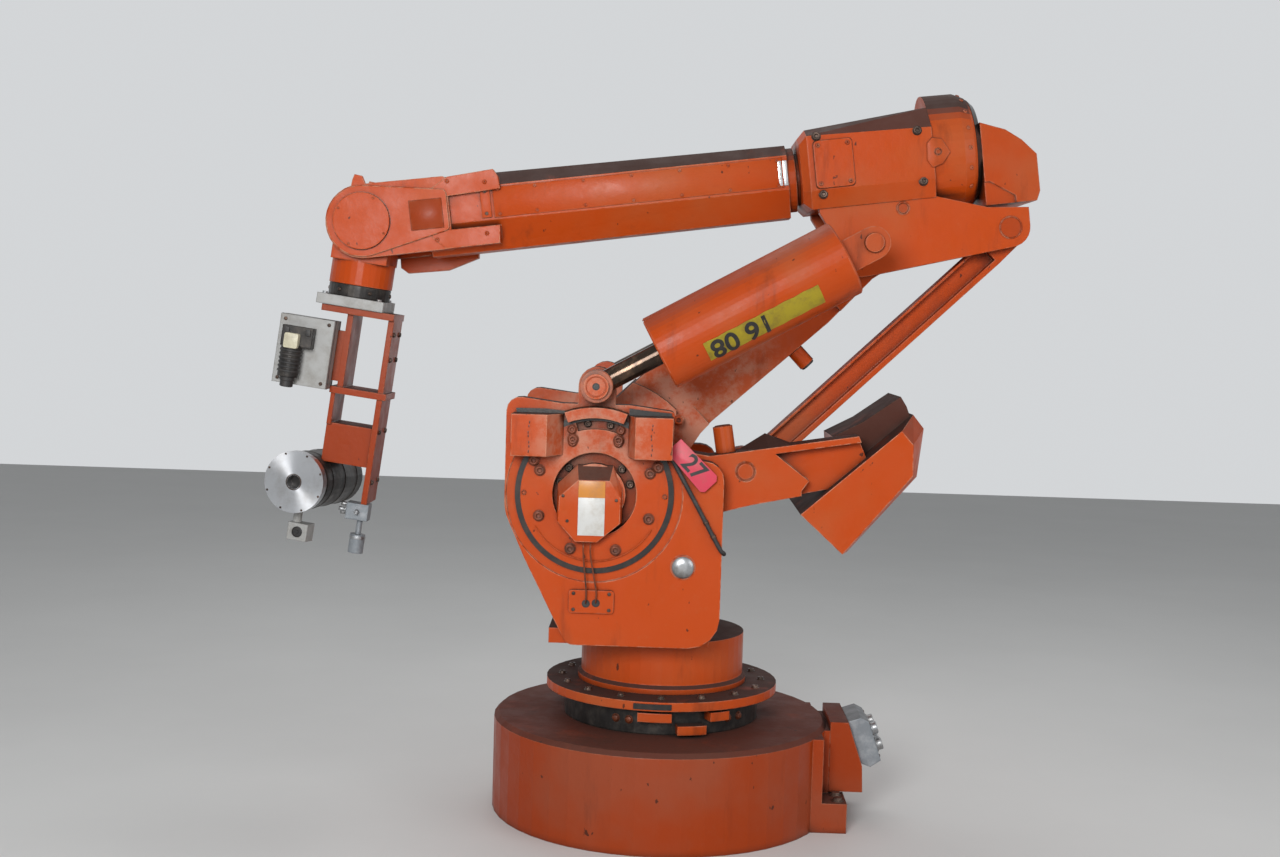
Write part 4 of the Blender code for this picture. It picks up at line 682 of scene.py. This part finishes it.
CLIP_PLACES, CLIP_SLOPE = ((-0.100, 0.8375), (-0.120, 0.802)), -60.5
TAG_PLACE, TAG_STANDS, TAG_TURN = (-0.0605, 0.9827), 0.0108, 134.5
TAG_OUTLINE = ((-0.070, -0.026), (0.061, -0.029), (0.071, -0.019), (0.071, 0.022), (0.062, 0.030), (-0.064, 0.024),
               (-0.071, 0.017))


def turret_front():
    """The label place, leads, cable plate, plug, tag and cable on the turret's left side."""
    plate, motor = top("left_side_plate", 1), top("left_drive_motor", 1)
    for name, place, finish in (("motor_label", MOTOR_LABEL, CARD), ("motor_label_band", MOTOR_BAND, AMBER)):
        film = slab(rectangle(*place), motor + FILM, motor + FILM_TOP, FILM_EDGE)
        finished(name, film, finish, "turret", HUB)
    side_fasteners("motor_face_screws", pan_screw, 0.0042, MOTOR_SCREWS, motor, "turret", SCREW, HUB)
    (_, _, low), (_, face, high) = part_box("cable_plate")
    middle = (low + high) / 2
    centre = Matrix.Translation((HUB.translation.x, 0.0, middle))
    side_fasteners("cable_plate_screws", pan_screw, 0.0048, CABLE_PLATE_SCREWS, face, "turret", SCREW, centre)
    grommets = [grommet for _, _, grommet in reversed(LEADS)]
    side_fasteners("cable_grommets", dimple, 0.0085, grommets, face, "turret", RUBBER, centre)
    drop = HUB.translation.z - middle
    for letter, x, (end, low) in LEADS:
        route = [(x, motor - 0.028, drop - 0.112), (x, motor - 0.006, drop - 0.128),
                 (x * 0.9 + end * 0.1, motor - 0.008, drop - 0.160), (end, motor - 0.014, 0.034),
                 (end, face + 0.010, low + 0.012), (end, face + 0.001, low)]
        wire(f"motor_lead_{letter}", route, LEAD_RADIUS, BROWNED, "turret", place=centre)
    plug_x, plug_z = PLUG_PLACE
    plug = [(plug_x, plate + 0.0009, plug_z)]
    fasteners("plate_plug_face", plug_face, 0.0285, plug, ALONG_Y, "turret", ZINC)
    wire("side_cable", [(x, plate + over, z) for x, over, z in SIDE_CABLE], SIDE_CABLE_RADIUS, RUBBER, "turret")
    clips = []
    for x, z in CLIP_PLACES:
        clip = ring(0.0057, 0.0070, -0.004, 0.004, 24)
        round_cable = Matrix.Rotation(radians(CLIP_SLOPE), 4, "Y") @ Matrix.Rotation(radians(90.0), 4, "Z")
        clip.transform(Matrix.Translation((x, plate + 0.0052, z)) @ round_cable)
        clips.append(clip)
    finished("side_cable_clips", joined(clips), SCREW, "turret")
    tag_x, tag_z = TAG_PLACE
    tag = Matrix.Translation((tag_x, plate + TAG_STANDS, tag_z)) @ Matrix.Rotation(radians(TAG_TURN), 4, "Y")
    finished("number_tag", slab(TAG_OUTLINE, 0.0, 0.0011, FILM_EDGE), TAG_PINK, "turret", tag)
    digits = figures("27", 0.062)
    digits.transform(tag @ Matrix.Translation((0.006, 0.0014, 0.0)) @ Matrix.Rotation(radians(-90.0), 4, "X"))
    finished("number_tag_figures", digits, MARKER, "turret")


# The base and the ring above it, in the world
RING_SCREWS, RING_CIRCLE = 16, 0.276
SCALE_LOW, SCALE_HIGH, SCALE_START, SCALE_SWEEP = 0.020, 0.005, 77.0, 18.0  # below the ring's top; degrees round it
DRUM_BOLT_TURNS, DRUM_BOLT_Z = (64.0, 72.0, 132.0, 141.0), 0.300
FOOT_BOLT_X, FOOT_BOLT_Z, FOOT_BOLT_SIDES = -0.482, 0.080, (0.135, 0.185)
PANEL_TOP = Vector((-0.5122, 0.0, 0.276))  # the connector panel's upper edge
PANEL_DOWN, PANEL_OUT = Vector((-0.041, 0.0, -0.119)).normalized(), Vector((-0.119, 0.0, 0.041)).normalized()
PANEL_STANDS, PANEL_MARGIN = 0.055, 0.005
PANEL_SOCKET = [(0.017 * 1.2, 0.0), (0.017 * 1.2, 0.004), (0.017, 0.005), (0.017, 0.017), (0.017 * 0.9, 0.019)]


def base_works():
    """Screws, scale and sockets on the turret ring, the bearing drum, the foot and the connector panel."""
    ring_top, radius = top("turret_ring", 2), top("turret_ring", 1)
    rim = [(x, y, ring_top) for x, y in circle(RING_CIRCLE, RING_SCREWS, 0.0)]
    fasteners("turret_ring_screws", cap_screw, 0.0085, rim, ALONG_Z, "turret", SCREW)
    scale = ring(radius + FILM, radius + 0.0016, ring_top - SCALE_LOW, ring_top - SCALE_HIGH, 24,
                 SCALE_START, SCALE_SWEEP, side=-1)
    finished("ring_scale", scale, GREASE_AND_SHADOW, "turret", Matrix.Rotation(radians(-90.0), 4, "X"))
    drum = top("bearing_drum", 1)
    ways = [Vector((cos(radians(turn)), sin(radians(turn)), 0.0)) for turn in DRUM_BOLT_TURNS]
    bolts = [stood(hex_bolt(0.0085), way * drum + Vector((0, 0, DRUM_BOLT_Z)), way) for way in ways]
    finished("drum_bolts", joined(bolts), BROWNED, "base")
    feet = [(FOOT_BOLT_X, side * y, FOOT_BOLT_Z) for side in (1, -1) for y in FOOT_BOLT_SIDES]
    fasteners("foot_bolts", hex_bolt, 0.0125, feet, ALONG_Z, "base", SCREW)

    def on_panel(down, y):
        return PANEL_TOP + PANEL_DOWN * PANEL_MARGIN + PANEL_OUT * PANEL_STANDS + PANEL_DOWN * down + Vector((0, y, 0))

    sockets = [on_panel(down, y) for down in (0.048, 0.095) for y in (-0.042, 0.042)]
    screws = [on_panel(down, y) for down in (0.026, 0.118) for y in (-0.072, 0.072)]
    shapes = [stood(lathe(PANEL_SOCKET, 28), place, PANEL_OUT) for place in sockets]
    finished("panel_sockets", joined(shapes), ZINC, "base")
    fasteners("panel_screws", pan_screw, 0.0045, screws, PANEL_OUT, "base", SCREW)


# The lower arm, the parallel arm and the left can, each along its own axes
BEAM_FACE, LEVER_FACE = 0.100, 0.250  # left faces of the lower arm's beam and of the parallel arm
ROOT_SCREW = (-0.024, 0.1405, 1.087)
BEAM_PLUGS = ((0.050, 0.420), (0.050, 0.760))
STOP_PAD, LEVER_PAD, LEVER_PIN = (-0.1384, 0.052, 0.640), (-0.352, 0.200, 0.122), (-0.395, 0.0)
CAN_RADIUS, CAN_Y = 0.098, 0.366
TAPE_START, TAPE_LONG, TAPE_TOP, TAPE_TURN = 0.178, 0.318, -15.5, -33.0  # from the elbow; degrees round the can
TAPE_COLUMNS, TAPE_ROWS = 24, 8


def lower_works():
    """Small things on the lower arm and the parallel arm."""
    fasteners("root_screw_left", cap_screw, 0.0115, [ROOT_SCREW], ALONG_Y, "lower_arm", PAINTED_SCREW)
    side_fasteners("lower_arm_plugs", dimple, 0.012, BEAM_PLUGS, BEAM_FACE, "lower_arm", PAINTED_SCREW, LOWER)
    fasteners("stop_pad_lower", rubber_pad, 0.0195, [STOP_PAD], (-1, 0, 0), "lower_arm", RUBBER, LOWER)
    fasteners("lever_stop_pad", lever_pad, 0.0215, [LEVER_PAD], ALONG_Z, "parallel_arm", DARK_PAINT, LEVER)
    side_fasteners("lever_pin_ring", pin_cap, 0.0265, [LEVER_PIN], LEVER_FACE, "parallel_arm", PAINTED_SCREW, LEVER)


def can_tape():
    """The yellow strip on the left balance can, with its figures."""
    reach = CAN_RADIUS + FILM

    def on_can(along, turn, proud):
        return (along, CAN_Y + (reach + proud) * cos(turn), (reach + proud) * sin(turn))

    shape, rows = bmesh.new(), []
    for i in range(TAPE_COLUMNS + 1):
        along, wave = TAPE_START + TAPE_LONG * i / TAPE_COLUMNS, 0.010 * sin(11.0 * i)
        row = []
        for k in range(TAPE_ROWS + 1):
            turn = radians(TAPE_TOP + TAPE_TURN * k / TAPE_ROWS) + (wave if k in (0, TAPE_ROWS) else 0.0)
            row.append(shape.verts.new(on_can(along, turn, 0.0006)))
        rows.append(row)
    for low, high in zip(rows, rows[1:]):
        for k in range(TAPE_ROWS):
            shape.faces.new((low[k], low[k + 1], high[k + 1], high[k]))
    bmesh.ops.solidify(shape, geom=shape.faces[:], thickness=0.0005)
    finished("can_tape", shape, TAPE_YELLOW, "left_balance_can", CAN)
    digits = figures("16 08", 0.074)
    for vert in digits.verts:
        x, y, z = vert.co
        vert.co = on_can(0.400 + x, radians(-32.5) - y / reach, 0.0014 + z)
    finished("can_tape_figures", digits, MARKER, "left_balance_can", CAN)


# The upper arm's housing: (x, z) from the third axis, and faces from the middle plane
HOUSING_SIDE, HATCH_FACE, CHEEK, PAD_LOW, PAD_FACE = 0.165, 0.171, 0.142, 0.150, 0.1702
HATCH_SCREWS = [(x, z) for x in (0.017, 0.095) for z in (0.176, 0.276)]
HATCH_GASKET = (0.056, 0.226, 0.1050, 0.1270, 0.010)  # centre, width, height and corner
HOUSING_SCREWS = ((0.0965, 0.3005), (0.091, 0.1490), (-0.168, 0.2885), (-0.173, 0.1560))
CHEEK_DETAILS = (  # name, kind, radius and place
    ("cheek_plug", dimple, 0.0150, (-0.117, 0.092)), ("cheek_ring_1", cheek_ring, 0.0275, (-0.3948, 0.0131)),
)
PAD_DIMPLE = (-0.217, 0.228)
RING_PAD = ((-0.190, 0.254), (-0.204, 0.267), (-0.230, 0.262), (-0.250, 0.224), (-0.228, 0.196), (-0.200, 0.188),
            (-0.187, 0.208))
AXIS_4_UP = 0.232  # the fourth axis over the third
GEAR_SCREWS, GEAR_SCREW_X, GEAR_HIDDEN = 18, -0.306, -0.72  # the housing hides the ring below that sine
COVER_SEAL, SEAL_X = [(0.1395, -0.0010), (0.1412, 0.0), (0.1272, 0.0135), (0.1240, 0.0135)], -0.3265


def housing_works():
    """Screws, pads and seals on the upper arm's housing."""
    side_fasteners("hatch_screws", cap_screw, 0.0048, HATCH_SCREWS, HATCH_FACE, "upper_arm", PAINTED_SCREW, UPPER)
    gasket = slab(rectangle(*HATCH_GASKET), HOUSING_SIDE + FILM, HOUSING_SIDE + FILM_TOP, 0.0004)
    finished("hatch_gasket", gasket, BROWNED, "upper_arm", UPPER)
    for side, word in SIDES:
        seats = []
        for x, z in HOUSING_SCREWS:
            hit, _ = cast("upper_arm_housing", UPPER @ Vector((x, side * 0.5, z)), (0, -side, 0))
            seats.append(UPPER.inverted() @ hit)
        fasteners(f"{word}_housing_screws", cap_screw, 0.0098, seats, (0, side, 0), "upper_arm", SCREW, UPPER)
        painted = ("upper_arm", PAINTED_SCREW, UPPER, side)
        for name, make, radius, place in CHEEK_DETAILS:
            side_fasteners(f"{word}_{name}", make, radius, [place], CHEEK, *painted)
        pad = slab(RING_PAD, PAD_LOW, PAD_FACE, 0.004, side)
        finished(f"{word}_ring_pad", pad, PAINT, "upper_arm", UPPER)
        side_fasteners(f"{word}_pad_dimple", dimple, 0.0085, [PAD_DIMPLE], PAD_FACE, *painted)
    studs = []
    for k in range(GEAR_SCREWS):
        turn = radians(360.0 / GEAR_SCREWS * k)
        way = Vector((0.0, cos(turn), sin(turn)))
        outside = UPPER @ (Vector((GEAR_SCREW_X, 0.0, AXIS_4_UP)) + way)
        hit, normal = cast("axis_4_gear_ring", outside, UPPER.to_3x3() @ -way)
        if hit is not None and sin(turn) >= GEAR_HIDDEN:
            studs.append(stood(pan_screw(0.0058), hit, normal))
    finished("gear_ring_screws", joined(studs), PAINTED_SCREW, "upper_arm")
    seal = hoop(COVER_SEAL, 72, (SEAL_X, 0.0, AXIS_4_UP), (-1, 0, 0))
    finished("motor_cover_seal", seal, GREASE_AND_SHADOW, "upper_arm", UPPER)


# The forearm, with x along it from the fourth axis' joint, and its fork, from the fifth axis
SIDE_START, SIDE_END, SIDE_HALF, SIDE_WIDENS = 0.172, 1.149, 0.090, 0.014  # the side faces, which widen to the fork
COVER_OUTLINE = ((0.185, -0.024), (0.965, -0.026), (0.965, 0.056), (0.185, 0.056))
STRAP_OUTLINE = ((0.972, -0.024), (0.999, -0.024), (0.999, 0.056), (0.972, 0.056))
COVER_SCREWS = [(x, z) for x in (0.200, 0.330, 0.460, 0.590, 0.720, 0.850, 0.950) for z in (-0.017, 0.049)]
STRAP_SCREWS = [(0.9855, z) for z in (-0.013, 0.046)]
FORK_FACE, WRIST_SEAM = 0.125, (0.0763, 0.0778)
FORK_PLATE, FOIL_Z, FOIL_HIGH = (-0.1745, 0.0, 0.089, 0.080, 0.002), 0.014, 0.066
POD_FACE, POD_SCREWS = 0.119, ((-0.238, 0.082), (-0.338, 0.070), (-0.196, -0.070), (-0.330, -0.066))
COVER_FACE, WRIST_COVER_SCREWS = 0.135, circle(0.0690, 4, 35.0)
FOIL_STRIPS = ((0.1795, 0.011), (0.1935, 0.0095))  # place and width


def side_y(x):
    """How far the forearm's side face stands from its middle plane."""
    return SIDE_HALF + SIDE_WIDENS * (x - SIDE_START) / (SIDE_END - SIDE_START)


def on_side(shape, side, over):
    """A plate moved out onto that face."""
    for vert in shape.verts:
        vert.co.y += side * (side_y(vert.co.x) + over)
    return shape


def forearm_works():
    """Covers, straps, screws and foil on the forearm and its fork."""
    for side, word in SIDES:
        cover = on_side(slab(COVER_OUTLINE, 0.0, 0.0022, 0.0006, side), side, FILM)
        finished(f"{word}_side_cover", cover, PAINT, "forearm", FORE)
        heads = [(x, side * (side_y(x) + 0.0026), z) for x, z in COVER_SCREWS]
        fasteners(f"{word}_cover_screws", pan_screw, 0.0046, heads, (0, side, 0), "forearm", PAINTED_SCREW, FORE)
        strap = on_side(slab(STRAP_OUTLINE, 0.0, 0.0045, 0.0012, side), side, FILM)
        finished(f"{word}_strap", strap, PAINT, "forearm", FORE)
        heads = [(x, side * (side_y(x) + 0.0049), z) for x, z in STRAP_SCREWS]
        fasteners(f"{word}_strap_screws", pan_screw, 0.0048, heads, (0, side, 0), "forearm", SCREW, FORE)
        painted = ("forearm", PAINTED_SCREW, FORK, side)
        side_fasteners(f"{word}_pod_screws", pan_screw, 0.0060, POD_SCREWS, POD_FACE, *painted)
        groove = ring(*WRIST_SEAM, FORK_FACE + CLOSE, FORK_FACE + 0.0010, 72, side=side)
        finished(f"{word}_wrist_seam", groove, BROWNED, "forearm", FORK)
        side_fasteners(f"{word}_wrist_cover_screws", pan_screw, 0.0036, WRIST_COVER_SCREWS, COVER_FACE, *painted)
    plate = slab(rectangle(*FORK_PLATE), FORK_FACE + FILM, FORK_FACE + 0.0018, 0.0005)
    finished("fork_plate", plate, DARK_PAINT, "forearm", FORK)
    strips = [slab(rectangle(x, FOIL_Z, wide, FOIL_HIGH), 0.0, 0.0010, 0.0002) for x, wide in FOIL_STRIPS]
    strips = [on_side(strip, 1, 0.0028) for strip in strips]
    finished("silver_strips", joined(strips), FOIL, "forearm", FORE)


# The tool, with x along it from the fifth axis; the spindle's own places are from its centre
ADAPTER_SCREWS = [(0.2060, y, z) for y in (-0.078, 0.078) for z in (0.078, -0.070)]
TOOL_SCREWS = (  # name, kind, radius, places and direction
    ("saddle_screws", cap_screw, 0.0068, [(0.600, 0.026, 0.025), (0.600, -0.026, 0.025), (0.636, 0.0, 0.025)], ALONG_Z),
    ("cross_screws", cap_screw, 0.0048, [(0.461, y, 0.028) for y in (-0.045, 0.045)], ALONG_Z),
    ("back_plate_screws", cap_screw, 0.0062,
     [(x, y, -0.1178) for x in (0.290, 0.360, 0.560, 0.700) for y in (-0.045, 0.045)], (0, 0, -1)),
    ("box_screws", pan_screw, 0.0050, [(x, 0.130, z) for x in (0.289, 0.448) for z in (0.043, 0.161)], ALONG_Y),
)
NECK_X, NECK_CIRCLE = 0.1890, 0.0840
GASKET_LOW, GASKET_HIGH = 0.1105, 0.1130
GASKET_SIDES = ((0.2752, 0.2758, 0.028, 0.176), (0.4612, 0.4618, 0.028, 0.176), (0.2752, 0.4618, 0.0282, 0.0288),
                (0.2752, 0.4618, 0.1752, 0.1758))  # low and high x, low and high z
CONNECTOR_FACE, CONNECTOR_Y, CONNECTOR_Z = 0.1653, 0.158, 0.128
LATCH = (0.3430, 0.1260, 0.040, 0.038, 0.005)
EARS = [(0.3170, z, 0.018, 0.014, 0.003) for z in (0.088, 0.145)]
RIBS, RIB_START, RIB_PITCH = 6, 0.3660, 0.0110
RIB = [(0.0278, 0.0), (0.0296, 0.0012), (0.0296, 0.0052), (0.0278, 0.0064)]
BOOT_X = 0.440
BOOT = [(0.0200, -0.002), (0.0200, 0.010), (0.0175, 0.0115), (0.0175, 0.026), (0.0135, 0.028), (0.0120, 0.0275),
        (0.0120, 0.012)]
DISC_FACE, HUB_RADII = 0.121, (0.0196, 0.0222)
BAND_PLACES = (-0.150, -0.060, 0.030, 0.072)
BAND = [(0.0802, 0.0), (0.0812, 0.0008), (0.0812, 0.0040), (0.0802, 0.0048)]
SOCKET_PLACE = (0.139, 0.079, -0.0135)
FITTING_PLACES = (((0.771, 0.030, -0.0640), ALONG_Z), ((0.794, 0.030, -0.0640), ALONG_Z),
                  ((0.782, 0.058, -0.0640), ALONG_Z), ((0.782, 0.0700, -0.095), ALONG_Y))
FITTING = [(hexagon(0.0062), 0.0), (hexagon(0.0062), 0.006), (0.0048, 0.007), (0.0062, 0.009), (0.0062, 0.019),
           (0.0050, 0.021), (0.0030, 0.0212), (0.0030, 0.015)]
FILTER_PLACE = (0.850, 0.045, -0.1025)
FILTER_RING = [(0.0212, 0.0), (0.0220, 0.0010), (0.0220, 0.0080), (0.0212, 0.0090)]


def tool_works():
    """Screws, connector details and fittings on the tool."""
    fasteners("adapter_screws", cap_screw, 0.0070, ADAPTER_SCREWS, (-1, 0, 0), "tool", ZINC, TOOL)
    neck = [stood(pan_screw(0.0055), (NECK_X, y, z), (0.0, y, z)) for y, z in circle(NECK_CIRCLE, 6, 30.0)]
    finished("tool_flange_screws", joined(neck), SCREW, "tool", TOOL)
    for name, make, radius, places, way in TOOL_SCREWS:
        fasteners(name, make, radius, places, way, "tool", SCREW, TOOL)
    seam = []
    for low_x, high_x, low_z, high_z in GASKET_SIDES:
        outline = [(low_x, low_z), (high_x, low_z), (high_x, high_z), (low_x, high_z)]
        seam.append(slab(outline, GASKET_LOW, GASKET_HIGH, 0.0))
    finished("box_gasket", joined(seam), RUBBER, "tool", TOOL)
    latch = slab(rectangle(*LATCH), CONNECTOR_FACE + FILM, CONNECTOR_FACE + 0.0255, 0.002)
    finished("connector_latch", latch, CREAM, "tool", TOOL)
    ears = [slab(rectangle(*ear), CONNECTOR_FACE + FILM, CONNECTOR_FACE + 0.0050, 0.001) for ear in EARS]
    finished("connector_ears", joined(ears), RUBBER, "tool", TOOL)
    ribs = [hoop(RIB, 28, (RIB_START + RIB_PITCH * k, CONNECTOR_Y, CONNECTOR_Z), ALONG_X) for k in range(RIBS)]
    finished("connector_collar_ribs", joined(ribs), RUBBER, "tool", TOOL)
    boot = stood(lathe(BOOT, 36), (BOOT_X, CONNECTOR_Y, CONNECTOR_Z), ALONG_X)
    finished("connector_gland_boot", boot, RUBBER, "tool", TOOL)
    side_fasteners("disc_screws", pan_screw, 0.0030, circle(0.0795, 8, 20.0), DISC_FACE, "tool", SCREW, SPINDLE)
    hub_rim = ring(*HUB_RADII, DISC_FACE + CLOSE, DISC_FACE + 0.0012, 40)
    finished("disc_hub_ring", hub_rim, SCREW, "tool", SPINDLE)
    bands = [hoop(BAND, 56, (0.0, along, 0.0), ALONG_Y) for along in BAND_PLACES]
    finished("spindle_bands", joined(bands), FINISHES["dark_steel"], "tool", SPINDLE)
    fasteners("socket_face", socket_face, 0.0150, [SOCKET_PLACE], ALONG_Y, "tool", RUBBER, SPINDLE)
    fittings = [stood(lathe(FITTING), place, way) for place, way in FITTING_PLACES]
    finished("valve_fittings", joined(fittings), ZINC, "tool", TOOL)
    bowl = hoop(FILTER_RING, 32, FILTER_PLACE, ALONG_X)
    finished("filter_ring", bowl, ZINC, "tool", TOOL)


def camera():
    """The camera at the photograph's viewing angle."""
    level = cos(CAMERA_PITCH)
    forward = Vector((sin(CAMERA_YAW) * level, -cos(CAMERA_YAW) * level, -sin(CAMERA_PITCH)))
    right = forward.cross(Vector((0.0, 0.0, 1.0))).normalized()
    down = forward.cross(right)
    rolled_right = right * cos(CAMERA_ROLL) + down * sin(CAMERA_ROLL)
    rolled_down = down * cos(CAMERA_ROLL) - right * sin(CAMERA_ROLL)
    data = bpy.data.cameras.new("camera")
    data.sensor_width = SENSOR_WIDTH
    data.lens = SENSOR_WIDTH * CAMERA_FOCAL / IMAGE_WIDTH
    made = bpy.data.objects.new("camera", data)
    turn = Matrix((rolled_right, -rolled_down, -forward)).transposed().to_4x4()
    turn.translation = Vector(CAMERA_PLACE)
    made.matrix_world = turn
    bpy.context.scene.collection.objects.link(made)
    bpy.context.scene.camera = made


def studio_floor():
    """A pale floor."""
    half = 9.0
    mesh = bpy.data.meshes.new("floor")
    mesh.from_pydata([(-half, -half, 0), (half, -half, 0), (half, half, 0), (-half, half, 0)], [], [(0, 1, 2, 3)])
    made = bpy.data.objects.new("floor", mesh)
    bpy.context.scene.collection.objects.link(made)
    surface = Surface("floor_paint", 0.8)
    mesh.materials.append(surface.done(surface.mix(surface.noise(1.5), (0.66, 0.66, 0.65), (0.72, 0.72, 0.71))))


def lamp(name, place, aim, size, power):
    """A soft round lamp that looks at a point."""
    data = bpy.data.lights.new(name, "AREA")
    data.shape = "DISK"
    data.size = size
    data.energy = power
    made = bpy.data.objects.new(name, data)
    made.location = place
    made.rotation_euler = (Vector(aim) - Vector(place)).to_track_quat("-Z", "Y").to_euler()
    bpy.context.scene.collection.objects.link(made)


def light():
    """Three soft lamps and a pale world that lights less than the camera sees of it."""
    aim = (0.1, 0.0, 0.9)
    glow, backdrop = 0.30, 0.76
    lamp("key_lamp", (0.9, 4.7, 2.3), aim, 1.6, 150.0)
    lamp("fill_lamp", (-3.6, 2.6, 2.2), aim, 3.0, 42.0)
    lamp("top_lamp", (0.0, -1.6, 4.6), aim, 3.0, 55.0)
    world = bpy.data.worlds.new("studio")
    world.use_nodes = True
    nodes, links = world.node_tree.nodes, world.node_tree.links
    background = nodes["Background"]
    path = nodes.new("ShaderNodeLightPath")
    strength = nodes.new("ShaderNodeMix")
    strength.inputs[2].default_value = glow
    strength.inputs[3].default_value = backdrop
    seen = nodes.new("ShaderNodeMath")
    seen.operation = "MAXIMUM"
    links.new(path.outputs["Is Camera Ray"], seen.inputs[0])
    links.new(path.outputs["Is Glossy Ray"], seen.inputs[1])
    links.new(seen.outputs[0], strength.inputs[0])
    links.new(strength.outputs[0], background.inputs["Strength"])
    background.inputs["Color"].default_value = (0.86, 0.88, 0.90, 1.0)
    bpy.context.scene.world = world


camera()
dress_nodes()
turret_sides()
turret_front()
base_works()
lower_works()
can_tape()
housing_works()
forearm_works()
tool_works()
studio_floor()
light()
bpy.context.scene.view_settings.view_transform = "Standard"
